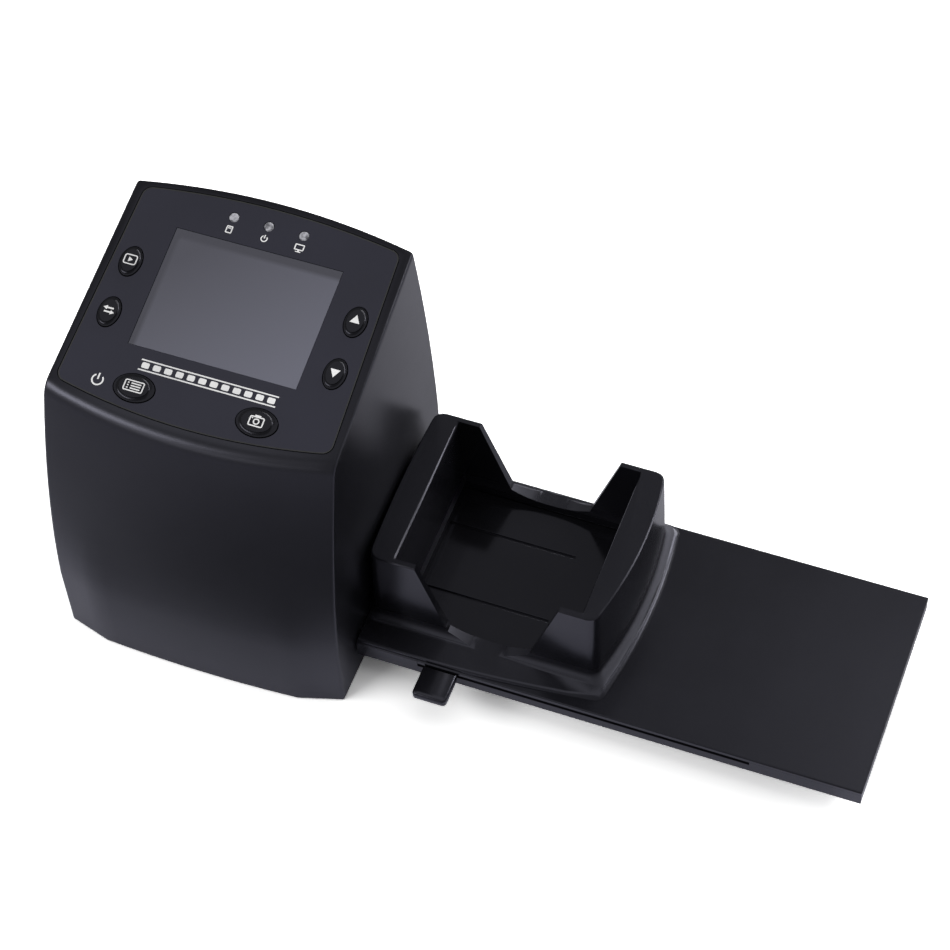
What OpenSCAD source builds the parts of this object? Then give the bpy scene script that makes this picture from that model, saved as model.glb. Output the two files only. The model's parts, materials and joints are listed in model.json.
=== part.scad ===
// Film and slide scanner: a moulded housing with a sloping control panel and display, and a
// slide feeder with a stacking hopper that plugs into the slot in the housing's side.
// Millimetres. X runs along the feeder, Y to the back and Z up. The scanner stands on Z = 0,
// and the origin is on that surface, below the middle of the whole outline.

/* [Housing] */
// Width of the housing at its waist
body_w = 87.2; // [84:0.2:96]
// Depth of the housing from front to back
body_d = 91; // [88:0.5:100]
// Height of the rear edge of the control panel
body_h = 115; // [108:0.5:125]
// Wall of the housing
wall = 2.2; // [1.8:0.1:2.6]
// Height of the crease round the foot of the housing
crease_z = 25; // [22:0.5:30]
// Gap between the housing's lower rim and the table
rim_gap = 0.6; // [0.4:0.1:1.2]
// How far the front stands forward between its corners
front_bow = 4.6; // [3:0.1:6]
// How far the front bows between the two corner facets of the foot
facet_bow = 1; // [0.6:0.1:1.6]
// Distance from the middle to each corner facet of the foot
facet_x = 31.2; // [28:0.2:35]
// Height over which the corner facets fade out above the crease
facet_fade = 30; // [20:1:40]
// How far the back stands out between its corners
back_bow = 3.9; // [2:0.1:5]
// Radius of the front as it leans back above the crease
front_r = 288; // [240:2:400]
// Angle at which the front leans back just above the crease
front_lean = 3; // [1:0.5:5]
// Radius of the back above the waist
back_r = 570; // [450:10:800]
// Radius of the swelling sides
side_r = 4500; // [3000:100:6000]
// Narrowing of each side at the top of the back
rear_taper = 1.7; // [0.5:0.1:2.5]
// Height of the waist, where the housing is widest
waist_z = 40; // [35:1:45]
// Size of the rounding between the front and the control panel, along each face
brow = 3.5; // [2:0.1:5]
// Rounding of the other edges of the housing
edge_r = 0.9; // [0.5:0.1:1.4]

/* [Control panel] */
// Slope of the control panel in degrees
panel_tilt = 14; // [10:0.5:18]
// Distance down the slope from the rear edge to the middle of the display
display_set = 33.6; // [32:0.2:36]
// Thickness of the panel sheet
sheet_t = 1; // [0.8:0.1:1.4]
// Width of the panel sheet at its rear edge
sheet_w_back = 76.6; // [72:0.2:78]
// Width of the panel sheet at its front edge
sheet_w_front = 81.2; // [76:0.2:82]
// Distance from the display's middle to the rear edge of the sheet
sheet_back = 31.2; // [29:0.2:31.4]
// Distance from the display's middle to the front edge of the sheet
sheet_front = 38; // [36.5:0.2:38.4]
// How far the sheet's rear edge bows up in its middle
sheet_bow_back = 3.2; // [2.4:0.1:4]
// How far the sheet's front edge bows down in its middle
sheet_bow_front = 4.5; // [3.6:0.1:5]
// Corner radius of the panel sheet
sheet_r = 3; // [2:0.2:4]
// Groove left all round the panel sheet
groove = 0.25; // [0.15:0.05:0.4]
// Width of the visible screen
screen_w = 49.9; // [46:0.1:51]
// Height of the visible screen
screen_h = 37; // [35:0.1:38]
// Gap round the display window and other seated pieces
seat_gap = 0.1; // [0.05:0.05:0.15]

/* [Buttons] */
// Distance from the middle to the side buttons
side_x = 33.5; // [33:0.1:35]
// Position of the upper side buttons up the slope
upper_s = 5; // [4:0.2:7]
// Position of the lower side buttons up the slope
lower_s = -11.1; // [-13:0.1:-10]
// Distance from the middle to the two front buttons
front_x = 18.1; // [16:0.1:20]
// Position of the front buttons up the slope
front_s = -30.6; // [-31:0.1:-30]
// Width of a side button
side_cap_w = 6.2; // [5.6:0.1:6.6]
// Height of a side button
side_cap_h = 9.1; // [8:0.1:9.6]
// Width of a front button
front_cap_w = 11.8; // [10:0.1:12.4]
// Height of a front button
front_cap_h = 8.2; // [7:0.1:8.6]
// Gap between a button and its hole
button_gap = 0.3; // [0.25:0.05:0.4]
// How far a button's crown stands above the panel
button_proud = 0.9; // [0.6:0.1:1.2]
// Travel of a button
button_travel = 0.5; // [0.3:0.05:0.55]
// Diameter of an indicator light
lamp_d = 2.9; // [2.5:0.1:3.2]
// Distance between indicator lights
lamp_pitch = 10.5; // [9:0.1:12]
// Position of the indicator lights up the slope
lamp_s = 25.8; // [25.4:0.1:26.2]

/* [Feeder] */
// Side of a mounted slide
slide_size = 50; // [49:0.1:51]
// Play of a slide in its channel
slide_play = 0.8; // [0.5:0.1:1.2]
// Height of the slide channel
channel_h = 3.5; // [3.2:0.1:3.8]
// Thickness of the feeder's top shell
shell_t = 1.4; // [1.2:0.1:1.8]
// Thickness of the feeder's floor
floor_t = 1.2; // [1:0.1:1.6]
// Height of the feeder's underside above the table
tray_z = 9.2; // [9:0.1:11]
// Distance from the lens axis to the outer end of the feeder
tray_reach = 194.6; // [194.6:0.2:210]
// Width of the feeder outside the housing
tray_w = 69; // [67.5:0.5:72]
// Width of the tongue inside the housing
tongue_w = 60; // [59:0.2:60.4]
// Distance from the lens axis to the inner end of the tongue
tongue_reach = 33; // [30:0.5:36]
// Middle of the feeder's outer part, measured from the middle of the housing's depth
tray_y = 5.1; // [4.6:0.1:5.4]
// Middle of the tongue, measured from the middle of the housing's depth
tongue_y = 5.6; // [5.2:0.1:6]
// Lens axis and middle of the slide channel, measured from the middle of the housing's depth
gate_y = 8.5; // [7.8:0.1:8.6]
// Bevel on the feeder's long edges
bevel = 0.35; // [0.2:0.05:0.5]
// Length of the picture window over the lamp
window_l = 38; // [36:0.5:40]
// Width of the picture window over the lamp
window_w = 27; // [25:0.5:30]
// Running gap round the feeder where it slides in the housing
slot_gap = 0.35; // [0.3:0.05:0.45]

/* [Hopper] */
// Distance from the lens axis to the middle of the hopper
hopper_x = 80.8; // [80.8:0.1:84]
// Height of the hopper's rim above the feeder's top
hopper_h = 30; // [24:0.5:36]
// Inside length of the hopper at its rim
hopper_in = 56; // [54:0.2:57]
// Draft of each end wall between the rim and the floor
hopper_draft = 1.2; // [0.6:0.1:1.6]
// Distance from the hopper's middle to its outer end, as the mean of the two corners
hopper_far = 34; // [33.5:0.1:35]
// Distance from the hopper's middle to the corners of the end beside the housing
hopper_near = 35.6; // [35:0.1:35.8]
// How much further out the outer end's back corner is than that mean
lean_far = 1.2; // [0:0.1:1.5]
// How far the outer end bulges between its corners
bulge_far = 2.5; // [1:0.1:4]
// How far the end beside the housing bulges between its corners
bulge_near = 0.7; // [0.3:0.1:0.9]
// Thickness of the hopper's front and back walls
hopper_wall = 1.9; // [1.5:0.1:2.2]
// Corner radius of the hopper's outside
hopper_r = 3.2; // [2.4:0.1:4]
// Spread of the hopper's foot along the feeder
foot_side = 3.5; // [2:0.1:4]
// Spread of the hopper's foot to the front beside the housing
foot_front = 10; // [8:0.1:11]
// Spread of the hopper's foot to the front at its outer corner
foot_corner = 6.2; // [5:0.1:8]
// How far the foot's front bulges between its corners
bulge_foot = 1.5; // [0:0.1:2]
// Spread of the hopper's foot to the back
foot_rear = 3.2; // [2:0.1:3.4]
// Height of the hollow curve between the foot and the walls
foot_rise = 2.4; // [1.5:0.1:4]
// Height of the foot's rounded rim
foot_step = 0.9; // [0.7:0.1:1.2]
// Width of the foot's rounded rim
foot_round = 1.3; // [0.8:0.1:1.6]
// Width of each finger notch at the rim
notch_top = 43; // [38:0.5:46]
// Width of each finger notch where its sides meet the curved floor
notch_low = 24.6; // [20:0.2:28]
// Height of that corner above the feeder's top
notch_corner = 3.6; // [3:0.1:5]
// Height of the lowest point of the notch above the feeder's top
notch_floor = 1; // [0.8:0.1:1.3]

/* [Pusher] */
// Thickness of the pusher's plate
plate_t = 1.25; // [1:0.05:1.4]
// Running gap round the pusher
run_gap = 0.25; // [0.25:0.05:0.4]
// Distance from the lens axis to the tab at rest
tab_x = 64.8; // [63:0.1:66]
// Width of the tab along the feeder
tab_w = 10.3; // [8:0.1:12]
// How far the tab stands out in front of the feeder
tab_out = 9.8; // [8:0.1:12]
// Thickness of the tab
tab_t = 3.1; // [2.6:0.1:3.4]
// Travel of the pusher
pusher_travel = 85; // [84:0.5:85.5]
// Distance from the hopper's middle to each groove in the plate
groove_y = 11.8; // [10:0.1:14]
// Width of the grooves in the plate
groove_w = 1; // [0.6:0.1:1.4]

/* [Base] */
// Thickness of the base plate
base_t = 2; // [1.8:0.1:2.4]
// Diameter of a rubber foot
foot_d = 9; // [7:0.5:11]
// Distance between the feet along the feeder
foot_pitch_x = 66; // [56:1:67]
// Distance between the feet from front to back
foot_pitch_y = 56; // [50:1:58]

/* [Hidden] */
$fn = 48;

// Colours of the materials
shell_black = [0.13, 0.13, 0.15];
panel_black = [0.11, 0.11, 0.13];
button_black = [0.09, 0.09, 0.10];
screen_grey = [0.36, 0.36, 0.40];
board_green = [0.10, 0.30, 0.18];
metal = [0.70, 0.70, 0.72];
lamp_white = [0.90, 0.90, 0.86];

// The whole model is moved along X so that the origin lies below the middle of its outline
scan_x = -(tray_reach - body_w / 2) / 2;
hair = 0.01;
half = body_w / 2;

// Levels of the feeder, from its underside up
channel_z = tray_z + floor_t;
cover_z = channel_z + channel_h;
tray_top = cover_z + shell_t;

// Edges of the feeder across its width
tongue_front = tongue_y - tongue_w / 2;
tongue_back = tongue_y + tongue_w / 2;
tray_front = tray_y - tray_w / 2;
tray_back = tray_y + tray_w / 2;
shoulder_x = half + slot_gap;
channel_w = slide_size + slide_play;
channel_front = gate_y - channel_w / 2;

// Base plate, rails and what stands on them
base_z = rim_gap + 0.6;
base_top = base_z + base_t;
rail_t = 1.8;
rail_l = 68;
ledge = 3;
rail_top = tray_top + 1.3;
post_d = 5;
post_front = tongue_front - slot_gap - rail_t - 1;
post_back = tongue_back + slot_gap + rail_t + 0.7;

// Outline of the lamp's diffuser and board, in a box on the base plate
lamp_l = window_l + 4;
lamp_w = window_w + 5;
lamp_box_wall = 1.8;

// How deep the feet are set into the base plate
foot_recess = 0.8;

// Places of the screws: control board on the slope, base plate, main board and feeder
control_screw_x = side_x + 0.5;
control_screw_s = [19.5, -22.5];
base_screw_x = half - wall - 2.6;
base_screw_y = body_d / 2 - 11.5;
standoff_x = 25;
standoff_y = 19;
feeder_screw_end = tray_reach - 5.5;

// Optical frame
frame_t = 2.2;
frame_w = 56;
post_x = frame_w / 2 - 4;
tower_top = rail_top + 39;
tower_wall = 1.8;
standoff_h = 12;
main_z = tower_top + frame_t + standoff_h;
board_t = 1.6;
thin_board_t = 1.2;

// Outline of the display module behind the screen
module_w = screen_w + 5.4;
module_l = screen_h + 5.4;

// Depths below the face of the control panel
skin_t = 1.2;
ceiling = sheet_t + skin_t;
flange_top = ceiling + 0.3;
flange_t = 0.8;
stem_end = flange_top + flange_t + 0.1;
switch_top = stem_end + button_travel + 0.1;
control_z = switch_top + 1;

// The control panel's plane, through the middle of the display
panel_y = back_y(0, body_h) - display_set * cos(panel_tilt);
panel_z = body_h - display_set * sin(panel_tilt);

function lerp(a, b, t) = a + (b - a) * t;
function clamp(t) = min(1, max(0, t));
function smooth(t) = clamp(t) * clamp(t) * (3 - 2 * clamp(t));
function curve(a, b, c, t) = pow(1 - t, 2) * a + 2 * t * (1 - t) * b + t * t * c;

// How far the front lies behind its foremost line at height z
function lean(z) = z < crease_z
    ? (crease_z - z) * 0.016
    : (z - crease_z) * tan(front_lean) + pow(z - crease_z, 2) / (2 * front_r);

// How far the front lies behind its middle at distance x: two corner facets below, a bow above
function bow(x, z) =
    let (u = clamp(abs(x) / half), corner = facet_x / half,
        facets = u < corner
            ? facet_bow * pow(u / corner, 2)
            : lerp(facet_bow, front_bow, (u - corner) / (1 - corner)))
    lerp(facets, front_bow * u * u, smooth((z - crease_z) / facet_fade));

function front_y(x, z, inset = 0) = inset - body_d / 2 + lean(z) + bow(x, z);
function back_y(x, z, inset = 0) =
    body_d / 2 - inset - back_bow * pow(x / half, 2) - pow(max(0, z - waist_z), 2) / (2 * back_r);
function half_w(y, z, inset = 0) =
    half - inset - pow(z - waist_z, 2) / (2 * side_r)
    - rear_taper * max(0, (z - waist_z) / (body_h - waist_z)) * (y / body_d + 0.5);

// Height of the panel plane at y, lowered by a depth below its face
function plane_z(y, depth = 0) =
    panel_z + (y - panel_y) * tan(panel_tilt) - depth / cos(panel_tilt);

// Heights at which the front and the back reach the panel plane, found step by step
function front_meet(x, inset, depth, z = 100, n = 5) =
    n == 0 ? z : front_meet(x, inset, depth, plane_z(front_y(x, z, inset), depth), n - 1);
function back_meet(x, inset, depth, z = 110, n = 5) =
    n == 0 ? z : back_meet(x, inset, depth, plane_z(back_y(x, z, inset), depth), n - 1);

// Side view of the housing at distance x from its middle: up the front, over the brow,
// along the panel and down the back
function section(x, inset, depth, low, brow_l, rear_l, steps) =
    let (fz = front_meet(x, inset, depth), fy = front_y(x, fz, inset),
        bz = back_meet(x, inset, depth), by = back_y(x, bz, inset),
        up = [cos(panel_tilt), sin(panel_tilt)],
        brow_z = fz - brow_l,
        rear_z = bz - rear_l,
        brow_a = [front_y(x, brow_z, inset), brow_z],
        brow_b = [fy, fz] + brow_l * up,
        rear_a = [by, bz] - rear_l * up,
        rear_b = [back_y(x, rear_z, inset), rear_z])
    concat(
        [for (z = [low, crease_z]) [front_y(x, z, inset), z]],
        [for (i = [1:steps])
            let (z = lerp(crease_z, brow_z, i / steps)) [front_y(x, z, inset), z]],
        [for (i = [1:5]) curve(brow_a, [fy, fz], brow_b, i / 5)],
        [for (i = [0:2]) curve(rear_a, [by, bz], rear_b, i / 2)],
        [for (i = [1:steps + 1])
            let (z = lerp(rear_z, crease_z, i / (steps + 1))) [back_y(x, z, inset), z]],
        [[back_y(x, low, inset), low]]
    );

// One section of the housing with its points brought out to the swelling side walls
function side_ring(u, inset, depth, low, round_r, cut, steps) =
    [for (p = section(u * half, inset + cut, depth + cut, low, brow, edge_r, steps))
        [sign(u) * (half_w(p[0], p[1], inset) - round_r), p[0], p[1]]];
function inner_ring(u, inset, depth, low, round_r, steps) =
    [for (p = section(u * half, inset, depth, low, brow, edge_r, steps))
        [u * (half_w(p[0], p[1], inset) - round_r), p[0], p[1]]];

// Places of the sections across the width, with one at each corner of the facets
function stations(mid, ends) =
    let (corner = facet_x / half)
    concat(
        [for (i = [0:ends]) lerp(1, corner, i / ends)],
        [for (i = [1:2 * mid - 1]) lerp(corner, -corner, i / (2 * mid))],
        [for (i = [0:ends]) lerp(-corner, -1, i / ends)]
    );

// Closed solid through equal rings of points. With strips, each end is laid out as strips
// between its first half and its second half.
module loft(rings, strips = false) {
    n = len(rings[0]);
    last = (len(rings) - 1) * n;
    cap = strips
        ? [for (i = [0:n / 2 - 2]) each [[i, i + 1, n - 2 - i], [i, n - 2 - i, n - 1 - i]]]
        : [[for (i = [0:n - 1]) i]];
    polyhedron(
        points = [for (r = rings) each r],
        faces = concat(
            cap,
            [for (f = cap) [for (i = [len(f) - 1:-1:0]) last + f[i]]],
            [for (j = [0:len(rings) - 2], i = [0:n - 1])
                let (a = j * n + i, b = j * n + (i + 1) % n)
                each [[a + n, b + n, b], [a + n, b, a]]]
        )
    );
}

// The outer form of the housing, with its corner edges rounded in steps
module outer_form() {
    steps = 9;
    turns = 3;
    right = [for (i = [0:turns - 1])
        side_ring(1, 0, 0, rim_gap, edge_r * (1 - cos(90 * i / turns)),
            edge_r * (1 - sin(90 * i / turns)), steps)];
    left = [for (i = [turns - 1:-1:0])
        side_ring(-1, 0, 0, rim_gap, edge_r * (1 - cos(90 * i / turns)),
            edge_r * (1 - sin(90 * i / turns)), steps)];
    middle = [for (u = stations(7, 3)) inner_ring(u, 0, 0, rim_gap, edge_r, steps)];
    loft(concat(right, middle, left), strips = true);
}

// The hollow inside the housing, open below
module inner_form() {
    loft([for (u = stations(4, 2)) inner_ring(u, wall, ceiling, -1, 0, 5)], strips = true);
}

// Outline of the housing's foot, set in from the outer form
function foot_outline(z, inset) = concat(
    [for (u = stations(4, 1))
        [-u * half_w(0, z, inset), front_y(u * half, z, inset)]],
    [for (u = stations(4, 1))
        [u * half_w(0, z, inset), back_y(u * half, z, inset)]]
);

// Places a piece in the scanner, or on the face of its control panel
module in_scanner() {
    translate([scan_x, 0, 0]) children();
}
module on_panel() {
    in_scanner() translate([0, panel_y, panel_z]) rotate([panel_tilt, 0, 0]) children();
}

// Copies a piece to both sides of the middle plane
module both_sides() {
    for (side = [-1, 1]) scale([side, 1, 1]) children();
}

// Outline of the panel sheet: straight sides, bowed front and rear edges, round corners
module sheet_outline() {
    rear = [for (i = [-8:8]) [sheet_w_back / 2 * i / 8, sheet_back - sheet_bow_back * pow(i / 8, 2)]];
    front = [for (i = [8:-1:-8])
        [sheet_w_front / 2 * i / 8, sheet_bow_front * pow(i / 8, 2) - sheet_front]];
    offset(r = sheet_r, $fn = 32) offset(delta = -sheet_r) polygon(concat(rear, front));
}

// Oval of a given width and height
module oval(w, h) {
    scale([w / h, 1]) circle(d = h);
}

// Repeats a side-button or front-button feature at every button
module at_buttons() {
    for (side = [-1, 1], s = [upper_s, lower_s])
        translate([side * side_x, s, 0]) children(0);
    for (side = [-1, 1]) translate([side * front_x, front_s, 0]) children(1);
}

// The oval holes for the buttons
module button_holes() {
    at_buttons() {
        oval(side_cap_w + 2 * button_gap, side_cap_h + 2 * button_gap);
        oval(front_cap_w + 2 * button_gap, front_cap_h + 2 * button_gap);
    }
}

// Repeats a feature at each indicator light
module at_lamps() {
    for (i = [-1:1]) translate([i * lamp_pitch, lamp_s, 0]) children();
}

// Repeats a feature at each screw of the control board
module at_control_screws() {
    both_sides() for (s = control_screw_s) translate([control_screw_x, s, 0]) children();
}

// Repeats a feature at each screw of the base plate
module at_base_screws() {
    both_sides() for (y = [-1, 1] * base_screw_y) translate([base_screw_x, y, 0]) children();
}

// Repeats a feature at each rubber foot
module at_feet() {
    both_sides() for (y = [-1, 1] * foot_pitch_y / 2) translate([foot_pitch_x / 2, y, 0]) children();
}

// Repeats a feature at each screw of the optical frame
module at_frame_screws() {
    both_sides() for (y = [post_front, post_back]) translate([post_x, y, 0]) children();
}

// Repeats a feature at each standoff of the main board
module at_standoffs() {
    both_sides() for (y = [-1, 1] * standoff_y)
        translate([standoff_x, gate_y + y, 0]) children();
}

// Repeats a feature at each screw of the feeder
module at_feeder_screws() {
    rear_y = tray_back - 2.8;
    front_line = tray_front + 5.8;
    for (x = [shoulder_x + 5, hopper_x + 38, feeder_screw_end])
        translate([x, rear_y, 0]) children();
    for (x = [shoulder_x + 9, feeder_screw_end - 20.5, feeder_screw_end])
        translate([x, front_line, 0]) children();
}

// Screw with its head below: total length under the head, shank and head diameters
module screw(length, shank, head_d, head_h) {
    translate([0, 0, -head_h]) difference() {
        cylinder(d = head_d, h = head_h);
        translate([0, 0, -hair]) cylinder(d = head_d * 0.5, h = head_h * 0.55, $fn = 6);
    }
    cylinder(d = shank, h = length - shank / 2);
    translate([0, 0, length - shank / 2]) cylinder(d1 = shank, d2 = shank / 3, h = shank / 2);
}

// Openings of the sockets in the back: place, size and height of each
card_x = 9;
card_w = 26;
card_h = 3.2;
usb_x = -15;
usb_w = 7.8;
usb_h = 4;
socket_z = main_z + board_t;
port_gap = 0.3;

// Opening in the housing's back for a socket
module port(x, w, h) {
    in_scanner() translate([x - w / 2 - port_gap, body_d / 2 - 12, socket_z - port_gap])
        cube([w + 2 * port_gap, 20, h + 2 * port_gap]);
}

// Screw boss with a blind hole from below
module boss(outer, inner, h) {
    difference() {
        cylinder(d = outer, h = h);
        translate([0, 0, -1]) cylinder(d = inner, h = h);
    }
}

// Housing: hollow moulding with the panel recess, button and light holes, the feeder slots
// in both sides, the two socket openings in the back and its screw bosses
module housing() {
    boss_top = tray_z - slot_gap - 0.3;
    color(shell_black) {
        difference() {
            in_scanner() outer_form();
            in_scanner() inner_form();
            on_panel() translate([0, 0, -sheet_t]) linear_extrude(sheet_t + 3)
                offset(delta = groove) sheet_outline();
            on_panel() translate([0, 0, -ceiling - 3]) linear_extrude(ceiling + 6) {
                button_holes();
                at_lamps() circle(d = lamp_d + 2 * seat_gap);
                square([module_w + 0.6, module_l + 0.6], center = true);
            }
            in_scanner() translate([-half - 5, tongue_front - slot_gap, tray_z - slot_gap])
                cube([body_w + 10, tongue_w + 2 * slot_gap, tray_top - tray_z + 2 * slot_gap]);
            port(card_x, card_w, card_h);
            port(usb_x, usb_w, usb_h);
        }
        on_panel() at_control_screws() translate([0, 0, -control_z])
            boss(5, 2.1, control_z - ceiling + hair);
        in_scanner() at_base_screws() translate([0, 0, base_top])
            boss(6.4, 2.6, boss_top - base_top);
    }
}

// Control panel: bowed sheet in the housing's recess, with the screen opening
module control_panel() {
    color(panel_black) on_panel() translate([0, 0, -sheet_t]) linear_extrude(sheet_t) difference() {
        sheet_outline();
        button_holes();
        at_lamps() circle(d = lamp_d + 2 * seat_gap);
        square([screen_w, screen_h], center = true);
    }
}

// Display window: clear pane flush in the panel's opening
module display_window() {
    color(screen_grey) on_panel() translate([0, 0, -sheet_t])
        linear_extrude(sheet_t - 0.03) square(
            [screen_w - 2 * seat_gap, screen_h - 2 * seat_gap], center = true);
}

// Display module: glass in a frame, from the panel sheet down to the control board
module display_module() {
    depth = control_z - sheet_t - 0.08;
    rim = 6.7;
    color(metal) on_panel() translate([0, 0, -control_z]) difference() {
        translate([0, 0, depth / 2]) cube([module_w, module_l, depth], center = true);
        translate([0, 0, -hair]) linear_extrude(depth * 0.3)
            square([module_w - 2 * rim, module_l - 2 * rim], center = true);
    }
}

// Indicator lights: three domed light pipes standing on the control board
module indicator_lights() {
    tall = control_z + 0.1;
    cut_r = 0.8;
    color(lamp_white) on_panel() at_lamps() translate([0, 0, -control_z])
        rotate_extrude() difference() {
            square([lamp_d / 2, tall]);
            translate([lamp_d / 2 + cut_r / 2, tall + cut_r / 2]) circle(r = cut_r);
        }
}

// One button: domed oval crown, flange under the housing's skin and a stem to its switch
module button(x, s, w, h) {
    crown = 0.7;
    flange = 1.6;
    stem_d = 2.4;
    color(button_black) on_panel() translate([x, s, 0]) {
        scale([w / h, 1, 1]) rotate_extrude() difference() {
            translate([0, -flange_top]) square([h / 2, flange_top + button_proud]);
            translate([h / 2, button_proud]) scale([1.6, 1]) circle(r = crown);
        }
        translate([0, 0, -flange_top - flange_t]) linear_extrude(flange_t)
            oval(w + flange, h + flange);
        translate([0, 0, -stem_end]) cylinder(d = stem_d, h = 0.2);
    }
}
module play_button() {
    button(-side_x, upper_s, side_cap_w, side_cap_h);
}
module flip_button() {
    button(-side_x, lower_s, side_cap_w, side_cap_h);
}
module up_button() {
    button(side_x, upper_s, side_cap_w, side_cap_h);
}
module down_button() {
    button(side_x, lower_s, side_cap_w, side_cap_h);
}
module menu_button() {
    button(-front_x, front_s, front_cap_w, front_cap_h);
}
module capture_button() {
    button(front_x, front_s, front_cap_w, front_cap_h);
}

// Control board: carries the display, the lights and the switches
module control_board() {
    edge_x = side_x + 3.3;
    corner = [edge_x, control_screw_s[0] + 2.5];
    tip = [side_x - 4, lamp_s + 2];
    nose = [front_x + 8, front_s - 3.9];
    shoulder = [edge_x, control_screw_s[1] - 4];
    right = [tip, corner, shoulder, nose];
    color(board_green) on_panel() translate([0, 0, -control_z - thin_board_t])
        linear_extrude(thin_board_t) difference() {
            polygon(concat(right, [for (i = [3:-1:0]) [-right[i][0], right[i][1]]]));
            at_control_screws() circle(d = 2.2);
        }
}

// Tact switches: one under each button, on the control board
module tact_switches() {
    color(metal) on_panel() at_buttons() {
        tact_switch();
        tact_switch();
    }
}
module tact_switch() {
    side = 4.6;
    translate([-side / 2, -side / 2, -control_z]) cube([side, side, 0.7]);
    translate([0, 0, -control_z]) cylinder(d = 1.8, h = control_z - switch_top);
}

// Board screws: four under the control board and four on the main board
module board_screws() {
    color(metal) {
        on_panel() at_control_screws() translate([0, 0, -control_z - thin_board_t])
            screw(thin_board_t + 1.8, 1.9, 3.8, 1.2);
        in_scanner() at_standoffs() translate([0, 0, main_z + board_t]) mirror([0, 0, 1])
            screw(board_t + 6, 2.4, 4.4, 1.4);
    }
}

// Main board: lies on the optical frame's standoffs and carries the two sockets
module main_board() {
    w = 2 * standoff_x + 12;
    front = gate_y - standoff_y - 4.5;
    back = body_d / 2 - 7.5;
    color(board_green) in_scanner() translate([0, 0, main_z]) linear_extrude(board_t) difference() {
        translate([-w / 2, front]) square([w, back - front]);
        at_standoffs() circle(d = 2.8);
        translate([-12, -5]) square([24, 9]);
    }
}

// Card socket: folded metal shell with its mouth in the back of the housing
module card_socket() {
    reach = body_d / 2 - 2.4;
    length = 28;
    metal_t = 0.5;
    color(metal) in_scanner() translate([card_x, 0, socket_z]) difference() {
        translate([-card_w / 2, reach - length, 0]) cube([card_w, length, card_h]);
        translate([-card_w / 2 + metal_t, reach - length + 3, metal_t])
            cube([card_w - 2 * metal_t, length, card_h - 2 * metal_t]);
    }
}

// Cable socket: small metal-shelled socket beside the card socket
module usb_socket() {
    reach = body_d / 2 - 1.6;
    length = 9;
    metal_t = 0.4;
    tongue = usb_w - 3.2;
    color(metal) in_scanner() translate([usb_x, reach - length, socket_z]) {
        difference() {
            translate([-usb_w / 2, 0, 0]) cube([usb_w, length, usb_h]);
            translate([-usb_w / 2 + metal_t, 2, metal_t])
                cube([usb_w - 2 * metal_t, length, usb_h - 2 * metal_t]);
        }
        translate([-tongue / 2, 1, usb_h / 2 - 0.5]) cube([tongue, length - 2, 1]);
    }
}

// Optical unit, down the lens axis: mount height, barrel and sensor
mount_h = 4;
mount_z = tower_top + frame_t;
barrel_d = 15;
barrel_l = 18;
lens_d = 9;
mount_w = 22;

// Sensor board: lies on the lens mount
module sensor_board() {
    color(board_green) in_scanner() translate([0, gate_y, mount_z + mount_h + thin_board_t / 2])
        cube([mount_w + 4, mount_w + 4, thin_board_t], center = true);
}

// Image sensor: faces down the lens axis under its board
module image_sensor() {
    color(screen_grey) in_scanner() translate([0, gate_y, mount_z + mount_h - 0.6])
        cube([8.4, 7, 1.2], center = true);
}

// Lens barrel: stepped tube with a square mount that sits on the frame's top plate
module lens_barrel() {
    color(button_black) in_scanner() translate([0, gate_y, mount_z]) difference() {
        union() {
            translate([-mount_w / 2, -mount_w / 2, 0]) cube([mount_w, mount_w, mount_h]);
            translate([0, 0, -barrel_l]) cylinder(d = barrel_d, h = barrel_l + 1);
            translate([0, 0, -barrel_l - 2]) cylinder(d = barrel_d - 3, h = 3);
        }
        translate([0, 0, -barrel_l - 3]) cylinder(d = lens_d, h = barrel_l + 4);
        cylinder(d = barrel_d - 2, h = mount_h + 1);
    }
}

// Lens glass: biconvex lens held at the lower end of the barrel
module lens_glass() {
    r = 14;
    rim = lens_d / 2 - 0.01;
    offset_z = sqrt(r * r - rim * rim) - 0.6;
    color(lamp_white) in_scanner() translate([0, gate_y, mount_z - barrel_l]) rotate_extrude()
        intersection() {
            translate([0, offset_z]) circle(r = r, $fn = 96);
            translate([0, -offset_z]) circle(r = r, $fn = 96);
            translate([0, -4]) square([rim, 8]);
        }
}

// Optical frame: plate on the rails, light hood up to the lens, top plate and standoffs
module optical_frame() {
    plate_y0 = post_front - post_d / 2;
    plate_l = post_back - post_front + post_d;
    low = [window_l + 8, window_w + 8];
    high = barrel_d * [1, 1] + [13, 11];
    walls = 2 * tower_wall * [1, 1];
    top = [2 * standoff_x + 8, 2 * standoff_y + 8];
    color(button_black) in_scanner() {
        difference() {
            union() {
                translate([-frame_w / 2, plate_y0, rail_top]) cube([frame_w, plate_l, frame_t]);
                hood(low, high, rail_top, tower_top + 1);
            }
            hood(low - walls, high - walls, rail_top - 1, tower_top);
            at_frame_screws() translate([0, 0, rail_top - 1]) cylinder(d = 2.6, h = frame_t + 2);
            barrel_hole();
        }
        difference() {
            translate([-top[0] / 2, gate_y - top[1] / 2, tower_top]) cube([top[0], top[1], frame_t]);
            barrel_hole();
        }
        at_standoffs() translate([0, 0, tower_top + frame_t]) difference() {
            cylinder(d = 6, h = standoff_h);
            translate([0, 0, standoff_h - 7]) cylinder(d = 2.5, h = 8);
        }
    }
}

module barrel_hole() {
    translate([0, gate_y, tower_top - 1]) cylinder(d = barrel_d + 0.4, h = frame_t + 2);
}

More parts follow.
